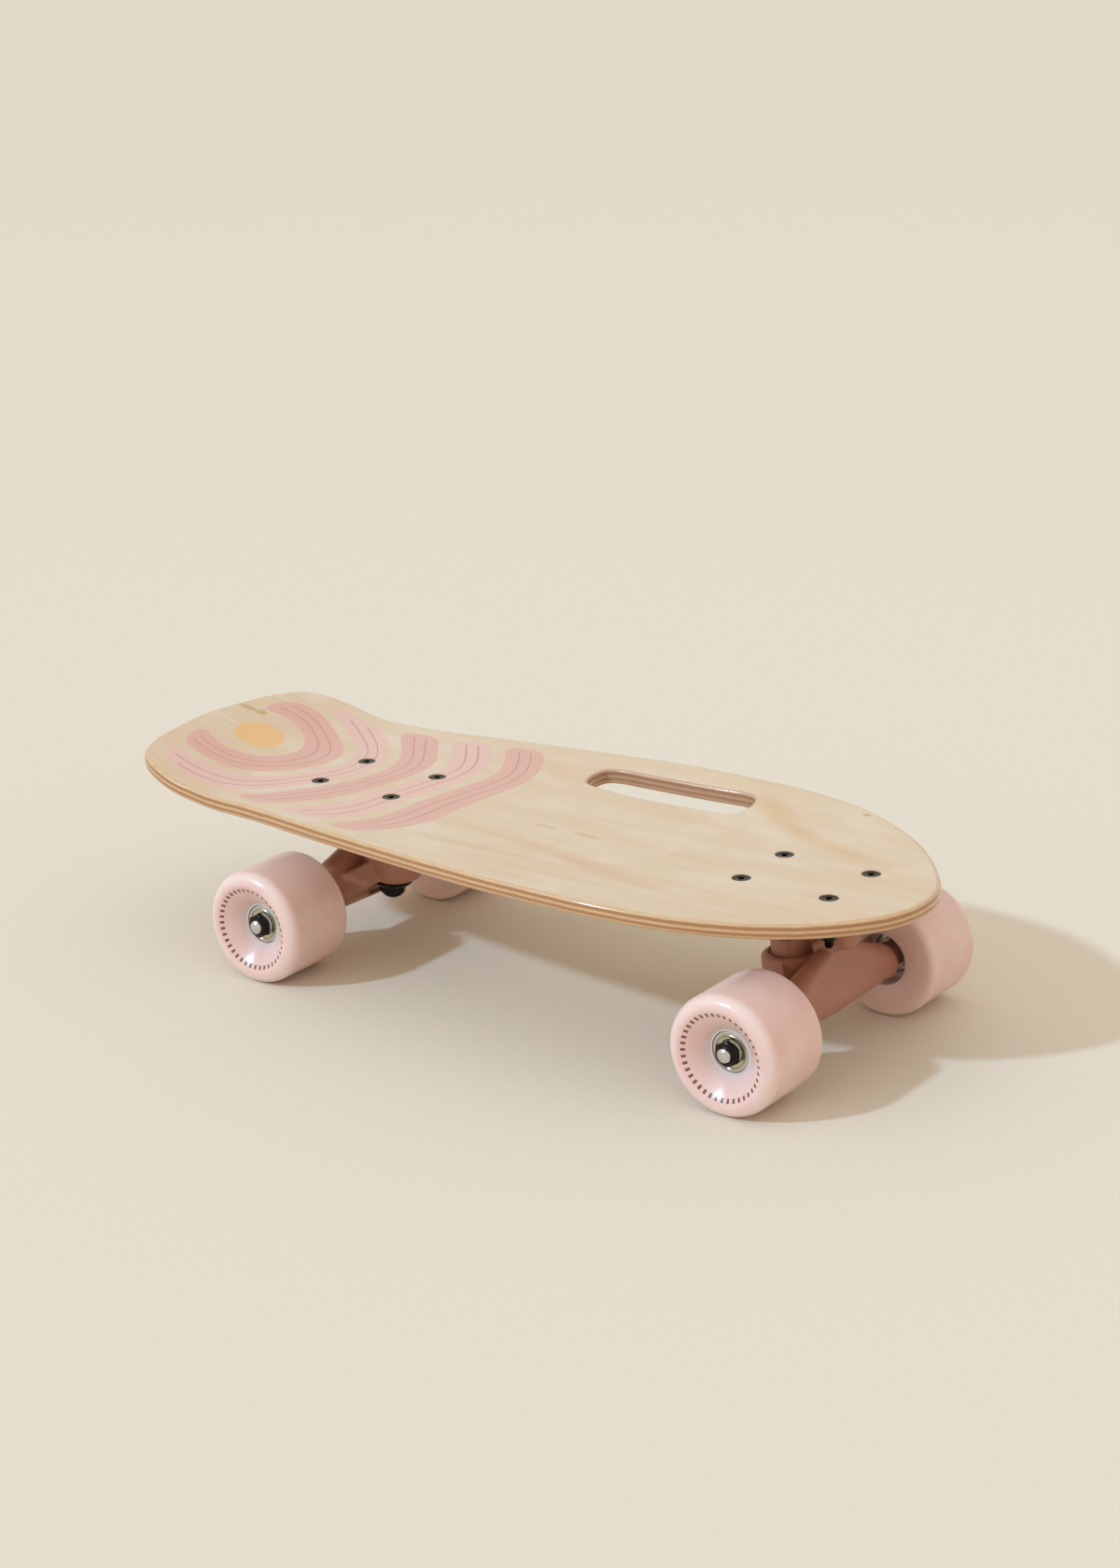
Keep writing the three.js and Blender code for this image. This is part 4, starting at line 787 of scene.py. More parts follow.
def press_tree(sizes):
    """Geometry tree that presses the flat panel to the deck's shape: hollow across, kicked up at the tail."""
    tree, given, result = new_tree("pressed_deck", [(size, "Float") for size in sizes])
    split = node(tree, "ShaderNodeSeparateXYZ", {0: node(tree, "GeometryNodeInputPosition")}).outputs
    values = add_rows(tree, "ShaderNodeMath", {
        "x": split["X"], "y": split["Y"], **{size: given[size] for size in sizes},
    }, [
        ("across", "ABSOLUTE", "y"),
        ("past strip", "SUBTRACT", "across", "Half Flat Strip"),
        ("outside", "MAXIMUM", "past strip", 0),
        ("room", "SUBTRACT", "Half Width", "Half Flat Strip"),
        ("share", "DIVIDE", "outside", "room"),
        ("bowl", "MULTIPLY", "share", "share"),
        ("full rise", "MULTIPLY", "bowl", "Concave Rise"),
        ("along", "DIVIDE", "x", "Half Length"),
        ("along squared", "MULTIPLY", "along", "along"),
        ("fade", "MULTIPLY", "along squared", "End Flattening"),
        ("kept", "SUBTRACT", 1, "fade"),
        ("concave", "MULTIPLY", "full rise", "kept"),
        ("behind start", "SUBTRACT", "Kick Start", "x"),
        ("run", "MAXIMUM", "behind start", 0),
        ("arc end", "MULTIPLY", "Kick Radius", "Kick Slope"),
        ("arc", "MINIMUM", "run", "arc end"),
        ("arc squared", "MULTIPLY", "arc", "arc"),
        ("double radius", "MULTIPLY", "Kick Radius", 2),
        ("curved", "DIVIDE", "arc squared", "double radius"),
        ("straight", "SUBTRACT", "run", "arc"),
        ("kick", "MULTIPLY_ADD", "straight", "Kick Slope", "curved"),
        ("rise", "ADD", "concave", "kick"),
        ("lifted", "ADD", "rise", "Top Height"),
    ])
    move = node(tree, "ShaderNodeCombineXYZ", {"Z": values["lifted"]})
    pressed = node(tree, "GeometryNodeSetPosition", {"Geometry": given["Geometry"], "Offset": move})
    whole = node(tree, "GeometryNodeRealizeInstances", {0: pressed})
    faced = node(tree, "GeometryNodeSetMaterial", {"Geometry": whole, "Material": BIRCH_FACE})
    wall = node(tree, "GeometryNodeInputNamedAttribute", {"Name": "wall"}, data_type="FLOAT")
    on_wall = node(tree, "FunctionNodeCompare", {
        0: wall.outputs["Attribute"], 1: 0.5,
    }, operation="GREATER_THAN")
    edged = node(tree, "GeometryNodeSetMaterial", {
        "Geometry": faced, "Selection": on_wall, "Material": PLY_EDGE,
    })
    tree.links.new(edged.outputs[0], result.inputs[0])
    return tree


PRESS_SIZES = {
    "Top Height": DECK_TOP * MM,
    "Half Length": DECK_LENGTH / 2 * MM,
    "Half Width": DECK_WIDTH / 2 * MM,
    "Half Flat Strip": FLAT_STRIP_WIDTH / 2 * MM,
    "Concave Rise": CONCAVE_RISE * MM,
    "End Flattening": END_FLATTENING_SHARE,
    "Kick Start": (KICK_LENGTH - DECK_LENGTH / 2) * MM,
    "Kick Radius": KICK_RADIUS * MM,
    "Kick Slope": math.tan(KICK_ANGLE),
}
deck = worked(deck_panel(), press_tree(PRESS_SIZES), PRESS_SIZES, "pressed_deck")
hand_over(deck, "board", "deck_plywood", "deck")


# Mounting bolts and their nuts

NUT_CHAMFER_SLOPE = math.tan(math.radians(30))
NUT_FACE_SHARE = 0.96
NUT_CROWN_SHARE = 0.98
COLLAR_FOOT = 0.3
COLLAR_ROUNDING_SHARE = 0.6
BOLT_HEAD_DEPTH = 2.8
BOLT_SOCKET_WIDTH = 3.2
BOLT_SOCKET_DEPTH = 1.8
BOLT_SOCKET_ROOM = 1.9
BOLT_THREAD_START = 11


def nut_profile(width, hex_height, collar, height, hole):
    """Rows of a lock nut from its bearing face up: a chamfered hexagon, then a rounded collar."""
    flat, corner = width / 2, width / 2 / math.cos(math.pi / 6)
    face, crown = flat * NUT_FACE_SHARE, flat * NUT_CROWN_SHARE
    chamfer = (corner - face) * NUT_CHAMFER_SLOPE
    hexagon = ("hexagon", width)
    rise, foot = height - hex_height, hex_height + COLLAR_FOOT
    rounding = rise * COLLAR_ROUNDING_SHARE
    return [
        (hole + 0.35, 0), (face, 0),
        *[(face + (corner - face) * k / 4, chamfer * k / 4, hexagon) for k in (1, 2, 3, 4)],
        *[(crown + (corner - crown) * k / 4, hex_height - chamfer * k / 4, hexagon) for k in (4, 3, 2, 1, 0)],
        (collar + 0.25, hex_height),
        *arc((collar - rounding, foot), (rounding, rise - COLLAR_FOOT), 0, 90, 6),
        (hole + 0.25, height), (hole, height - 0.3), (hole, 0.35),
    ]


def bolt_profile():
    """Rows of a countersunk bolt from its socket's floor over the head and down to its threaded end."""
    socket = ("hexagon", BOLT_SOCKET_WIDTH)
    return [
        (0, -BOLT_SOCKET_DEPTH), (BOLT_SOCKET_ROOM, -BOLT_SOCKET_DEPTH, socket),
        (BOLT_SOCKET_ROOM, -0.2, socket), (BOLT_SOCKET_ROOM + 0.25, 0),
        (BOLT_HEAD_RADIUS - 0.25, 0), (BOLT_HEAD_RADIUS, -0.2),
        (BOLT_HEAD_RADIUS, -0.45), (BOLT_RADIUS, -BOLT_HEAD_DEPTH), (BOLT_RADIUS, -BOLT_THREAD_START),
        *thread_rows(BOLT_RADIUS, -BOLT_THREAD_START - 0.2, 0.6 - BOLT_LENGTH, *BOLT_THREAD),
        (BOLT_RADIUS - 0.6, -BOLT_LENGTH), (0, -BOLT_LENGTH),
    ]


def pattern_tree():
    """Geometry tree that sets one part at the four bolt places of both trucks."""
    sizes = ("Front Truck", "Rear Truck", "Height", "Lengthwise", "Crosswise")
    tree, given, result = new_tree(
        "bolt_pattern", [*[(size, "Float") for size in sizes], ("Finish", "Material")],
    )
    grid = node(tree, "GeometryNodeMeshGrid", {
        "Size X": given["Lengthwise"], "Size Y": given["Crosswise"], "Vertices X": 2, "Vertices Y": 2,
    })
    both = tree.nodes.new("GeometryNodeJoinGeometry")
    for truck in ("Front Truck", "Rear Truck"):
        place = node(tree, "ShaderNodeCombineXYZ", {"X": given[truck], "Z": given["Height"]})
        moved = node(tree, "GeometryNodeTransform", {"Geometry": grid, "Translation": place})
        tree.links.new(moved.outputs[0], both.inputs[0])
    parts = node(tree, "GeometryNodeInstanceOnPoints", {"Points": both, "Instance": given["Geometry"]})
    whole = node(tree, "GeometryNodeRealizeInstances", {0: parts})
    finished = node(tree, "GeometryNodeSetMaterial", {"Geometry": whole, "Material": given["Finish"]})
    tree.links.new(finished.outputs[0], result.inputs[0])
    return tree


PATTERN = pattern_tree()


def on_bolt_places(name, profile, sides, height, node_name):
    """Sets a turned part at every bolt place, at one height."""
    pieces = worked(new_object(name, [(*turned(profile, sides), Matrix())]), PATTERN, {
        "Front Truck": FRONT_TRUCK_X * MM, "Rear Truck": REAR_TRUCK_X * MM, "Height": height * MM,
        "Lengthwise": BOLT_SPACING[0] * MM, "Crosswise": BOLT_SPACING[1] * MM, "Finish": BLACK_OXIDE,
    }, name)
    hand_over(pieces, "board", "black_steel", *[
        f"{truck}_{node_name}_{end}_{side}"
        for truck in ("front", "rear") for end in ("outer", "inner") for side in ("left", "right")
    ])


on_bolt_places("mounting_bolts", bolt_profile(), 36, DECK_TOP - GAP, "bolt")
on_bolt_places(
    "mounting_nuts", raised(nut_profile(*BOLT_NUT), 0, -1), 60, UNDERSIDE - BASE_THICKNESS - GAP, "bolt_nut",
)


# Castings of the trucks

CASTING_VOXEL = 0.65
RING_RADIUS = 17
RING_HEIGHT = 14.5
RING_ROUNDING = 3.4
RING_HOLE_RADIUS = 6.7
POCKET_RADIUS = 13
POCKET_TOP = RING_HEIGHT / 2 - 2.5
POCKET_BOTTOM = -RING_HEIGHT / 2 + 6
POCKET_CUT_ENDS = (-9.3, 22)
WASHER_ROOM_RADIUS = 14.4
YOKE_TUBE_HALF_SPAN = 44
YOKE_RING_HALF_SPAN = 16.5
YOKE_HALF_THICKNESS = 6.5
NECK_RADIUS = 6
NECK_END = 6
PIN_START = 4.3
PIN_RADIUS = 4
PIN_REACH = 3.2
TUBE_COLLAR_RADIUS = 7.5
TUBE_RADII = (11.5, 10.25)
TUBE_BODY_WIDTH = 109
TUBE_END_ROUNDING = 3
HANGER_WIDTH = 130.8
HANGER_STATIONS = 30
HANGER_SIDES = 56
CREST_HEIGHT = 27.5
CREST_RADII = (4.5, 10.25)
CREST_OFFSET = 1.6
CREST_SHARES = [(0, 1), (0.16, 0.98), (0.39, 0.83), (0.58, 0.7), (0.78, 0.54), (1, 0.39)]
BASE_CORNER = (29, 19.5)
BASE_CORNER_RADIUS = 9
SEAT_ABOVE_RING = 17.8
SEAT_RADII = (15, 15.4, 20)
SEAT_SKIRT = 3
HOUSING_RADII = (8, 11.5)
MOUTH_RADIUS = 7
MOUTH_END = 3.5
CUP_RADIUS = 5.6
CUP_MOUTH = 4
CUP_SHOULDER = 2.1
CUP_BACK = 4.8
CUP_BACK_RADIUS = 3.5
BOLT_CUT_ENDS = (-20, 5)
KINGPIN_CUT_END = 60
AXLE_RADIUS = 4
KINGPIN_RADIUS = 4.75
KINGPIN_HOLE = 5.05
KINGPIN_HEAD_RADIUS = 7.5
KINGPIN_HEAD_HEIGHT = 5
KINGPIN_HEAD_SINK = 2
BASE_ABOVE_RING = RING_DROP / math.cos(KINGPIN_LEAN)
KINGPIN_FRAME = axis_frame((RING_OFFSET, 0, -RING_DROP), (-math.sin(KINGPIN_LEAN), 0, math.cos(KINGPIN_LEAN)))
PIVOT_FRAME = axis_frame((PIVOT_OFFSET, 0, -PIVOT_DROP), (math.cos(PIVOT_ANGLE), 0, math.sin(PIVOT_ANGLE)))
AXLE_FRAME = axis_frame((AXLE_OFFSET, 0, -TRUCK_HEIGHT), (0, 1, 0))
TRUCK_FRAMES = {
    "front": Matrix.Translation((FRONT_TRUCK_X, 0, UNDERSIDE)),
    "rear": Matrix.Translation((REAR_TRUCK_X, 0, UNDERSIDE)) @ Matrix.Rotation(math.pi, 4, "Z"),
}


def hanger_body():
    """Axle tube with the crest that rises from it, lofted across the board and rounded at both ends."""
    shares = np.array(CREST_SHARES)
    straight = TUBE_BODY_WIDTH / 2 - TUBE_END_ROUNDING
    stations = []
    for share in np.linspace(0, 1, HANGER_STATIONS):
        crest_share = np.interp(share, shares[:, 0], shares[:, 1])
        tube = TUBE_RADII[0] + (TUBE_RADII[1] - TUBE_RADII[0]) * share
        crest = CREST_RADII[0] + (CREST_RADII[1] - CREST_RADII[0]) * share
        stations.append((share * straight, tube, crest, crest_share * CREST_HEIGHT))
    end_centre = (TUBE_RADII[1] - TUBE_END_ROUNDING, straight)
    for tip, y in arc(end_centre, (TUBE_END_ROUNDING, TUBE_END_ROUNDING), 0, 90, 5)[1:]:
        stations.append((y, tip, tip, tip))
    stations = [(-y, *rest) for y, *rest in reversed(stations[1:])] + stations
    sides = HANGER_SIDES
    points, faces = [], []
    for y, tube, crest, height in stations:
        for k in range(sides):
            turn = 2 * math.pi * k / sides
            across, up = math.sin(turn), math.cos(turn)
            on_crest = CREST_OFFSET * across + (height - crest) * up + crest > tube
            radius = crest if on_crest else tube
            points.append((
                AXLE_OFFSET + radius * across + (CREST_OFFSET if on_crest else 0), y,
                -TRUCK_HEIGHT + radius * up + (height - crest if on_crest else 0),
            ))
    for s in range(len(stations) - 1):
        for k in range(sides):
            a, b = s * sides + k, s * sides + (k + 1) % sides
            faces.append((a, b, b + sides, a + sides))
    faces.append(tuple(range(sides)))
    faces.append(tuple(range(len(points) - sides, len(points))))
    return points, faces, Matrix()


def prism(outline, low, high, place):
    """Straight prism on an outline."""
    count = len(outline)
    points = [(x, y, z) for z in (low, high) for x, y in outline]
    faces = [tuple(range(count)), tuple(range(count, 2 * count))]
    faces += [(k, (k + 1) % count, count + (k + 1) % count, count + k) for k in range(count)]
    return points, faces, place


def rod(radius, low, high, place, sides=64):
    """Round rod along a frame's Z."""
    return (*turned([(0, low), (radius, low), (radius, high), (0, high)], sides), place)


def cast(name, shapes, cuts, smoothing):
    """One casting: the shapes run together, the cuts taken out, and each edge softened as paint leaves it."""
    blank = new_object(name, shapes)
    cutter = new_object(name + "_cuts", cuts)
    boolean = blank.modifiers.new("machining", "BOOLEAN")
    boolean.operation = "DIFFERENCE"
    boolean.solver = "EXACT"
    boolean.use_self = True
    boolean.object = cutter
    remesh = blank.modifiers.new("casting_skin", "REMESH")
    remesh.mode = "VOXEL"
    remesh.voxel_size = CASTING_VOXEL * MM
    smooth = blank.modifiers.new("soft_edges", "SMOOTH")
    smooth.iterations = smoothing
    made = plain_copy(blank, name)
    bpy.data.objects.remove(cutter)
    made.data.shade_smooth()
    made.data.materials.clear()
    made.data.materials.append(ENAMEL)
    return made


def set_in_both_trucks(casting, name):
    """A casting drawn in a truck's frame, copied to its place in each truck."""
    pieces = []
    for truck, truck_frame in TRUCK_FRAMES.items():
        place = truck_frame.copy()
        place.translation *= MM
        mesh = casting.data.copy()
        mesh.transform(place)
        pieces.append((truck, in_scene(f"{truck}_{name}", mesh)))
    bpy.data.objects.remove(casting)
    return pieces


def hanger_castings():
    """Hangers: the bushing ring, the tube with its crest, the yoke between them, and the pivot pin."""
    half = RING_HEIGHT / 2
    ring = turned(rounded([
        (0, -half), (RING_RADIUS, -half), (RING_RADIUS, half), (0, half),
    ], RING_ROUNDING, 5), 64)
    run = Vector((RING_OFFSET - AXLE_OFFSET, 0, TRUCK_HEIGHT - RING_DROP))
    along = run.normalized()
    across = Vector((0, 1, 0))
    yoke_place = Matrix.Translation((AXLE_OFFSET, 0, -TRUCK_HEIGHT))
    yoke_place @= Matrix((across, along, across.cross(along))).transposed().to_4x4()
    yoke = prism([
        (-YOKE_TUBE_HALF_SPAN, 0), (YOKE_TUBE_HALF_SPAN, 0), (YOKE_RING_HALF_SPAN, run.length),
        (-YOKE_RING_HALF_SPAN, run.length),
    ], -YOKE_HALF_THICKNESS, YOKE_HALF_THICKNESS, yoke_place)
    neck = -(PIVOT_OFFSET - AXLE_OFFSET) / math.cos(PIVOT_ANGLE) - NECK_END
    pin = turned([
        (0, neck), (NECK_RADIUS, neck), (NECK_RADIUS, -NECK_END), (PIN_RADIUS, -PIN_START),
        *arc((0, PIN_REACH - PIN_RADIUS), (PIN_RADIUS, PIN_RADIUS), 0, 75, 5), (0, PIN_REACH),
    ], 40)
    shapes = [
        hanger_body(), (*ring, KINGPIN_FRAME), yoke, (*pin, PIVOT_FRAME),
        rod(TUBE_COLLAR_RADIUS, -HANGER_WIDTH / 2, HANGER_WIDTH / 2, AXLE_FRAME),
    ]
    cuts = [
        rod(RING_HOLE_RADIUS, -RING_HEIGHT, RING_HEIGHT, KINGPIN_FRAME),
        rod(POCKET_RADIUS, POCKET_TOP, POCKET_CUT_ENDS[1], KINGPIN_FRAME),
        rod(POCKET_RADIUS, POCKET_CUT_ENDS[0], POCKET_BOTTOM, KINGPIN_FRAME),
        rod(WASHER_ROOM_RADIUS, -1.5 * RING_HEIGHT, -RING_HEIGHT / 2, KINGPIN_FRAME),
        rod(AXLE_RADIUS + GAP, -HANGER_WIDTH, HANGER_WIDTH, AXLE_FRAME),
    ]
    for truck, made in set_in_both_trucks(cast("hanger", shapes, cuts, 6), "hanger_casting"):
        hand_over(made, f"{truck}_axle_set", "truck_enamel", f"{truck}_hanger")


def base_castings():
    """Baseplates: the plate, the seat that holds the kingpin, and the housing of the pivot."""
    corners = []
    for i, j, start in ((1, 1, 0), (-1, 1, 90), (-1, -1, 180), (1, -1, 270)):
        centre = (i * BASE_CORNER[0], j * BASE_CORNER[1])
        corners += arc(centre, (BASE_CORNER_RADIUS, BASE_CORNER_RADIUS), start, start + 90, 8)
    middle = BASE_ABOVE_RING - BASE_THICKNESS / 2
    face, skirt, top = SEAT_RADII
    seat = turned([
        (0, SEAT_ABOVE_RING), (face, SEAT_ABOVE_RING), (skirt, SEAT_ABOVE_RING + SEAT_SKIRT), (top, middle),
        (0, middle),
    ], 64)
    bottom, top = HOUSING_RADII
    housing_top = PIVOT_DROP - BASE_THICKNESS / 2
    housing = turned([(0, 0), (bottom, 0), (top, housing_top), (0, housing_top)], 48)
    bulb = turned([(0, -bottom), *arc((0, 0), (bottom, bottom), -75, 75, 10), (0, bottom)], 48)
    shapes = [
        prism(corners, -BASE_THICKNESS, -GAP, Matrix()), (*seat, KINGPIN_FRAME),
        (*housing, Matrix.Translation((PIVOT_OFFSET, 0, -PIVOT_DROP))), (*bulb, PIVOT_FRAME),
    ]
    head_room = KINGPIN_HEAD_SINK + KINGPIN_HEAD_HEIGHT + GAP
    cavity = turned([
        (0, -PIVOT_DROP), (CUP_RADIUS + GAP, -PIVOT_DROP), (CUP_RADIUS + GAP, CUP_SHOULDER + 0.1),
        (CUP_BACK_RADIUS + 0.1, CUP_BACK + GAP), (0, CUP_BACK + GAP),
    ], 48)
    cuts = [
        rod(KINGPIN_HOLE, 0, KINGPIN_CUT_END, KINGPIN_FRAME),
        rod(KINGPIN_HEAD_RADIUS + GAP, BASE_ABOVE_RING - head_room, KINGPIN_CUT_END, KINGPIN_FRAME),
        rod(MOUTH_RADIUS, -PIVOT_OFFSET, -MOUTH_END, PIVOT_FRAME), (*cavity, PIVOT_FRAME),
    ]
    for place in BOLT_PLACES:
        cuts.append(rod(BOLT_RADIUS + GAP, *BOLT_CUT_ENDS, Matrix.Translation((*place, 0)), 32))
    for truck, made in set_in_both_trucks(cast("baseplate", shapes, cuts, 4), "base_casting"):
        hand_over(made, "board", "truck_enamel", f"{truck}_baseplate")


# Kingpins with their washers, nuts and bushings

WASHER_THICKNESS = 1.2
TOP_WASHER_RADIUS = 12.5
TOP_WASHER_FACE = SEAT_ABOVE_RING - GAP
BUSHING_RADIUS = 11.3
BUSHING_BORE = 6.2
BUSHING_FOOT_RADIUS = 10
TOP_BUSHING = (POCKET_TOP + GAP, TOP_WASHER_FACE - WASHER_THICKNESS - GAP)
BOTTOM_BUSHING = (POCKET_BOTTOM - GAP - 8.9, POCKET_BOTTOM - GAP)
CUP_FACE = BOTTOM_BUSHING[0] - GAP
CUP_WASHER_RADII = (10.6, 11.7)
CUP_WASHER_RIM = 1.1
NUT_TOP = CUP_FACE - WASHER_THICKNESS - GAP


def turned_piece(name, truck, place, profile, finish, body, slot, nodes, sides=64):
    """Turned piece of a truck, with its body, finish and nodes."""
    made = new_object(name, [(*turned(profile, sides), TRUCK_FRAMES[truck] @ place)], [finish])
    hand_over(made, body, slot, *nodes)


def kingpin_profile():
    """Kingpin from its threaded end up to its head, which is let into the baseplate."""
    end = NUT_TOP - KINGPIN_NUT[3] - 1
    top = BASE_ABOVE_RING - KINGPIN_HEAD_SINK
    low, radius = top - KINGPIN_HEAD_HEIGHT, KINGPIN_HEAD_RADIUS
    return [
        (0, end), (3.9, end), *thread_rows(KINGPIN_RADIUS, end + 0.8, NUT_TOP - 0.5, *KINGPIN_THREAD),
        (KINGPIN_RADIUS, NUT_TOP), (KINGPIN_RADIUS, low), (radius - 0.2, low), (radius, low + 0.3),
        (radius, top - 0.4), (radius - 0.4, top), (0, top),
    ]


def flat_washer_profile():
    """Flat washer between the seat and the top bushing."""
    low, high = TOP_WASHER_FACE - WASHER_THICKNESS, TOP_WASHER_FACE
    return rounded_ring([
        (KINGPIN_HOLE, low), (TOP_WASHER_RADIUS, low), (TOP_WASHER_RADIUS, high), (KINGPIN_HOLE, high),
    ], 0.3)


def cup_washer_profile():
    """Washer with a turned-up rim that holds the foot of the bottom bushing."""
    inner, outer = CUP_WASHER_RADII
    low, rim = CUP_FACE - WASHER_THICKNESS, CUP_FACE + CUP_WASHER_RIM
    return rounded_ring([
        (KINGPIN_HOLE, low), (inner, low), (outer, CUP_FACE), (outer, rim), (inner, rim), (inner, CUP_FACE),
        (KINGPIN_HOLE, CUP_FACE),
    ], 0.35)


def pivot_cup_profile():
    """Pivot cup: a bowl round the pin's ball, a lip at the mouth, and a back that follows the cavity."""
    room = PIN_RADIUS + GAP
    return [
        (0, PIN_REACH + GAP), *arc((0, PIN_REACH - PIN_RADIUS), (room, room), 80, 0, 8),
        (room, -CUP_MOUTH + 0.4), (room + 0.3, -CUP_MOUTH), (CUP_RADIUS - 0.3, -CUP_MOUTH),
        (CUP_RADIUS, -CUP_MOUTH + 0.3), (CUP_RADIUS, CUP_SHOULDER), (CUP_BACK_RADIUS, CUP_BACK),
        (0, CUP_BACK),
    ]


def bushing(name, truck, profile, node_name):
    """Urethane bushing round the kingpin, held by its washer at one height."""
    place = TRUCK_FRAMES[truck] @ KINGPIN_FRAME
    made = new_object(name, [(*turned(profile, 64), place)], [BUSHING])
    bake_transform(made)
    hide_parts(node_name)


def kingpin_stack(truck):
    """Kingpin with its nut, washers and bushings, and the pivot cup."""
    for name, profile, node_name, sides in (
        ("kingpin_bolt", kingpin_profile(), "kingpin", 48),
        ("kingpin_lock_nut", raised(nut_profile(*KINGPIN_NUT), NUT_TOP, -1), "kingpin_nut", 72),
        ("flat_washer", flat_washer_profile(), "top_washer", 64),
        ("cup_washer", cup_washer_profile(), "bottom_washer", 64),
    ):
        turned_piece(
            f"{truck}_{name}", truck, KINGPIN_FRAME, profile, BLACK_OXIDE, "board", "black_steel",
            [f"{truck}_{node_name}"], sides,
        )
    low, high = TOP_BUSHING
    bushing(f"{truck}_barrel_bushing", truck, rounded_ring([
        (BUSHING_BORE, low), (BUSHING_RADIUS, low), (BUSHING_RADIUS, high), (KINGPIN_HOLE, high),
        (BUSHING_BORE, RING_HEIGHT / 2),
    ], 1.5), f"{truck}_top_bushing")
    low, high = BOTTOM_BUSHING
    bushing(f"{truck}_cone_bushing", truck, rounded_ring([
        (KINGPIN_HOLE, low), (BUSHING_FOOT_RADIUS, low), (BUSHING_RADIUS, high - 1),
        (BUSHING_RADIUS - 0.7, high), (BUSHING_BORE, high), (BUSHING_BORE, -RING_HEIGHT / 2),
    ], 0.8), f"{truck}_bottom_bushing")
    turned_piece(
        f"{truck}_pivot_bush", truck, PIVOT_FRAME, pivot_cup_profile(), ACETAL, "board", "cup_plastic",
        [f"{truck}_pivot_cup"],
    )


# Axles, wheels and bearings, drawn outwards from the truck's middle

WHEEL_RADIUS = 33
WHEEL_INNER = 54.3
WHEEL_OUTER = 101.6
WHEEL_INNER_FACE_RADIUS = 29
WHEEL_INNER_HOLE_RADIUS = 14.5
WHEEL_INNER_EDGE = 3.5
WHEEL_LIP_RADIUS = 26
WHEEL_OUTER_EDGE = 7
WHEEL_SHOULDER_RADIUS = 9
BOWL_FLOOR_RADIUS = 12.6
BOWL_CURVE = 1.32
BEARING_RADIUS = 11
BEARING_STARTS = (66.7, 83.7)
BEARING_WIDTH = 7
SEAT_RADIUS = BEARING_RADIUS + GAP
SPEED_WASHER = 1
SPEED_WASHER_RADIUS = 6.1
INNER_RING_RADIUS = 6.3
SPACER_RADIUS = 5.7
CORE_END = 91.7
AXLE_TIP = 98.3
# Half of a bearing's outer ring, and its shield: radius, and depth under the bearing's face
BEARING_FACE = [(BEARING_RADIUS, 0.4), (10.85, 0.1), (10.6, 0), (9.5, 0), (9.35, 0.1), (9.3, 0.6), (9.2, 0.6)]
SHIELD_ROWS = [
    (9.2, 0.5), (8.85, 0.5), (8.8, 0.2), (8.65, 0.1), (8.5, 0.14), (8.35, 0.36), (8.15, 0.42), (7.2, 0.3),
    (6.85, 0.3), (6.7, 0.4), (6.65, 0.6), (9.2, 0.6),
]


def wheel_profile():
    """Wheel from its inner hole round the tread, over the outer edge and down the bowl to the seats."""
    hole, floor = WHEEL_INNER_HOLE_RADIUS, CORE_END - 0.2
    face, lip, seat, shoulder = WHEEL_INNER_FACE_RADIUS, WHEEL_LIP_RADIUS, SEAT_RADIUS, WHEEL_SHOULDER_RADIUS
    low, high = BEARING_STARTS
    inner_edge = arc(
        (face, WHEEL_INNER + WHEEL_INNER_EDGE), (WHEEL_RADIUS - face, -WHEEL_INNER_EDGE), 90, 0, 8,
    )
    tread = [(WHEEL_RADIUS, y) for y in np.linspace(WHEEL_INNER + 8, WHEEL_OUTER - 12, 5)]
    outer_edge = arc((lip, WHEEL_OUTER - WHEEL_OUTER_EDGE), (WHEEL_OUTER_EDGE, WHEEL_OUTER_EDGE), 0, 90, 12)
    bowl = [
        (lip + (BOWL_FLOOR_RADIUS - lip) * share, WHEEL_OUTER + (floor - WHEEL_OUTER) * share ** BOWL_CURVE)
        for share in np.arange(1, 17) / 16
    ]
    return [
        (hole, WHEEL_INNER + 0.8), (hole + 0.2, WHEEL_INNER + 0.25), (hole + 0.8, WHEEL_INNER),
        *inner_edge, *tread, *outer_edge, *bowl,
        (12.2, floor - 0.35), (seat, floor - 0.35), (seat, high - GAP), (shoulder, high - GAP),
        (shoulder, low + BEARING_WIDTH + GAP), (seat, low + BEARING_WIDTH + GAP), (seat, low - 0.6),
        (hole, low - 0.6),
    ]


def bearing_rows(start):
    """Outer ring of a bearing with the groove that holds its shields."""
    return raised(BEARING_FACE, start + BEARING_WIDTH, -1) + raised(reversed(BEARING_FACE), start)


def core_rows():
    """Inner rings, spacer sleeve and speed washers, which the axle nut clamps into one stack."""
    bore, washer, ring = AXLE_RADIUS + GAP, SPEED_WASHER_RADIUS, INNER_RING_RADIUS
    low, high = BEARING_STARTS
    start = low - SPEED_WASHER
    rows = [(bore, start), (5.9, start), (washer, start + 0.15), (washer, low - 0.2), (5.9, low - 0.05)]
    for place in BEARING_STARTS:
        end = place + BEARING_WIDTH
        if place == high:
            rows += [(SPACER_RADIUS, low + BEARING_WIDTH), (SPACER_RADIUS, high)]
        rows += [(5.9, place + 0.02), (ring, place + 0.35), (ring, end - 0.35), (5.95, end)]
    return rows + [
        (5.9, end + 0.12), (washer, end + 0.25), (washer, CORE_END - 0.15), (5.9, CORE_END), (bore, CORE_END),
    ]


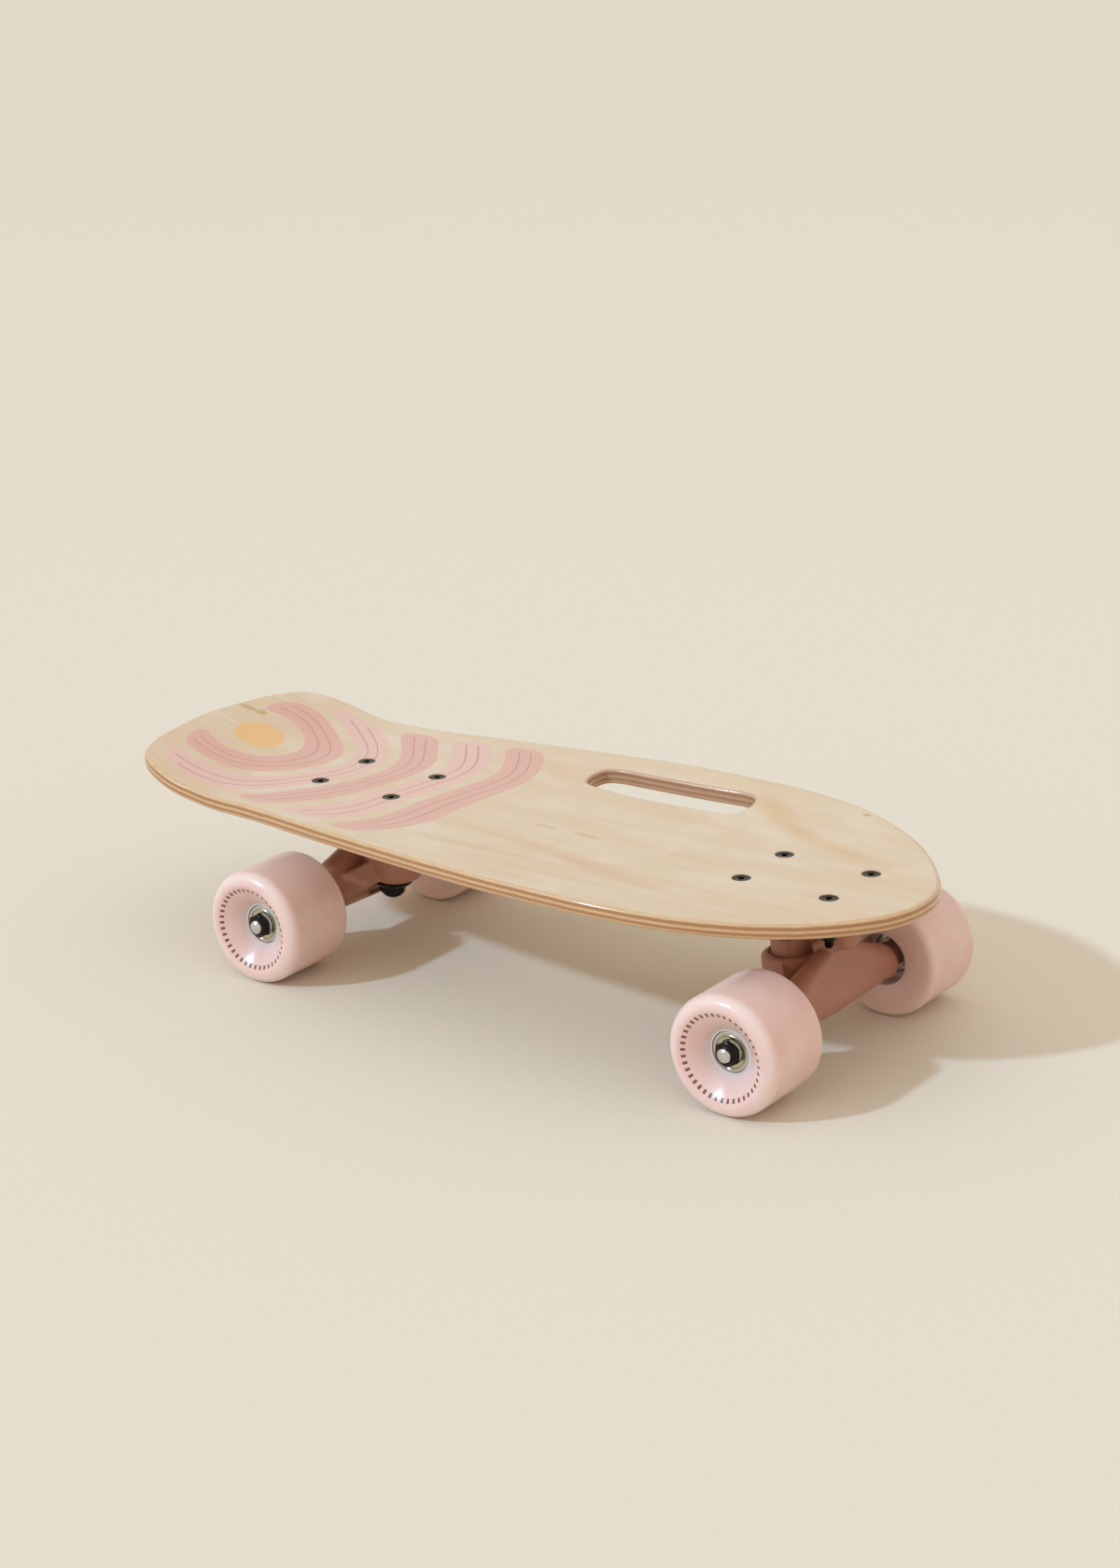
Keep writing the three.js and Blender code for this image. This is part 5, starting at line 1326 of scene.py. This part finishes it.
def axle_profile():
    """Axle rod, threaded at both ends."""
    half = [
        (AXLE_RADIUS, 60), (AXLE_RADIUS, 91.2), *thread_rows(AXLE_RADIUS, 91.5, AXLE_TIP - 0.9, *AXLE_THREAD),
        (2.8, AXLE_TIP - 0.1), (2.6, AXLE_TIP), (0, AXLE_TIP),
    ]
    return raised(reversed(half), 0, -1) + half


def wheel_set(truck, side, place):
    """Wheel, bearings, spacers and nut at one end of an axle."""
    key, axle_set, wheel_body = f"{truck}_{side}", f"{truck}_axle_set", f"{truck}_{side}_wheel_set"
    turned_piece(
        f"{key}_lock_nut", truck, place, raised(nut_profile(*AXLE_NUT), CORE_END + GAP), BLACK_OXIDE,
        axle_set, "black_steel", [f"{truck}_axle_nut_{side}"], 72,
    )
    turned_piece(
        f"{key}_spacer_stack", truck, place, core_rows(), BEARING_STEEL, axle_set, "bright_steel",
        [f"{key}_bearing_core"],
    )
    centre = TRUCK_FRAMES[truck] @ Vector((AXLE_OFFSET, 0, -TRUCK_HEIGHT))
    urethane = wheel_urethane(f"wheel_urethane_{key}", centre)
    turned_piece(
        f"{key}_cast_wheel", truck, place, wheel_profile(), urethane, wheel_body, "wheel_urethane",
        [f"{key}_wheel"], 144,
    )
    for name, start in zip(("inboard", "outboard"), BEARING_STARTS):
        turned_piece(
            f"{key}_{name}_ring", truck, place, bearing_rows(start), BEARING_STEEL, wheel_body,
            "bright_steel", [f"{key}_{name}_bearing"], 72,
        )
        faces = [
            (*turned(raised(SHIELD_ROWS, face, direction), 72), TRUCK_FRAMES[truck] @ place)
            for face, direction in ((start + BEARING_WIDTH, -1), (start, 1))
        ]
        hand_over(new_object(f"{key}_{name}_shields", faces, [SHIELD]), wheel_body, "bright_steel")


hanger_castings()
base_castings()
for truck, left in (("front", 0), ("rear", math.pi)):
    kingpin_stack(truck)
    turned_piece(
        f"{truck}_axle_rod", truck, AXLE_FRAME, axle_profile(), ZINC_PLATE, f"{truck}_axle_set",
        "bright_steel", [f"{truck}_axle"], 48,
    )
    for turn in (0, math.pi):
        place = AXLE_FRAME @ Matrix.Rotation(turn, 4, "X")
        wheel_set(truck, "left" if turn == left else "right", place)


# Floor, light and camera, in metres

FLOOR_WIDTH = 40
CAMERA_PLACE = Vector((0.95295, -1.20286, 0.64104))
CAMERA_TARGET = Vector((-0.1916, 0.2695, 0))
CAMERA_ROLL = math.radians(-1.87)
LAMP_DIRECTION = Vector((0.7, 1.17, -1))


def studio_floor():
    """Cream paper floor, wide enough to fill the view, with a trace of fibre, coarser than real so that it
    shows."""
    material, tree, _, noise = new_material("cream_paper_floor", fibre=(3, 4.0))
    colour = node(tree, "ShaderNodeValToRGB", {"Fac": noise["fibre"]}, ramp=[
        (0.3, "#e3dbcb"), (0.7, "#e6decf"),
    ])
    surface = node(tree, "ShaderNodeBsdfPrincipled", {"Base Color": colour, "Roughness": 0.85, "IOR": 1.3})
    node(tree, "ShaderNodeOutputMaterial", {"Surface": surface})
    half = FLOOR_WIDTH / 2
    mesh = bpy.data.meshes.new("floor")
    corners = [(-half, -half, 0), (half, -half, 0), (half, half, 0), (-half, half, 0)]
    mesh.from_pydata(corners, [], [(0, 1, 2, 3)])
    mesh.materials.append(material)
    in_scene("floor", mesh)


def studio_light():
    """Soft light from all round, warmer near the floor, a wide softbox above, and one clear lamp from the
    left of the camera. Together they light a level white surface at full strength."""
    world = bpy.data.worlds.new("studio")
    bpy.context.scene.world = world
    world.use_nodes = True
    tree = world.node_tree
    tree.nodes.clear()
    rays = node(tree, "ShaderNodeLightPath").outputs
    seen = node(tree, "ShaderNodeMath", {
        0: rays["Is Camera Ray"], 1: rays["Is Glossy Ray"],
    }, operation="MAXIMUM")
    direction = node(tree, "ShaderNodeTexCoord").outputs["Generated"]
    height = node(tree, "ShaderNodeSeparateXYZ", {0: direction}).outputs["Z"]
    shed = node(tree, "ShaderNodeValToRGB", {"Fac": height}, ramp=[
        (0.0, (0.85, 0.63, 0.47, 1)), (0.5, (0.79, 0.735, 0.67, 1)),
    ])
    around = layered(tree, shed, [(seen, "#e3dbcb")])
    background = node(tree, "ShaderNodeBackground", {"Color": around, "Strength": 1.0})
    node(tree, "ShaderNodeOutputWorld", {"Surface": background})
    softbox = bpy.data.lights.new("softbox", "AREA")
    softbox.size = 3
    softbox.energy = 5
    softbox.color = (1.0, 1.0, 0.95)
    in_scene("softbox", softbox).location = (0, -0.5, 3)
    lamp = bpy.data.lights.new("key_lamp", "SUN")
    lamp.energy = 1.65
    lamp.color = (0.56, 0.77, 1.0)
    lamp.angle = math.radians(3)
    in_scene("key_lamp", lamp).rotation_euler = LAMP_DIRECTION.to_track_quat("-Z", "Y").to_euler()


def photo_camera():
    """Camera at the place from which the picture was taken."""
    lens = bpy.data.cameras.new("camera")
    lens.sensor_fit = "VERTICAL"
    lens.sensor_height = 36
    lens.lens = 66.99
    lens.clip_end = 100
    turn = (CAMERA_TARGET - CAMERA_PLACE).to_track_quat("-Z", "Y") @ Quaternion((0, 0, 1), CAMERA_ROLL)
    camera = in_scene("camera", lens)
    camera.location = CAMERA_PLACE
    camera.rotation_euler = turn.to_euler()
    bpy.context.scene.camera = camera


studio_floor()
studio_light()
photo_camera()
bpy.context.scene.view_settings.view_transform = "Standard"
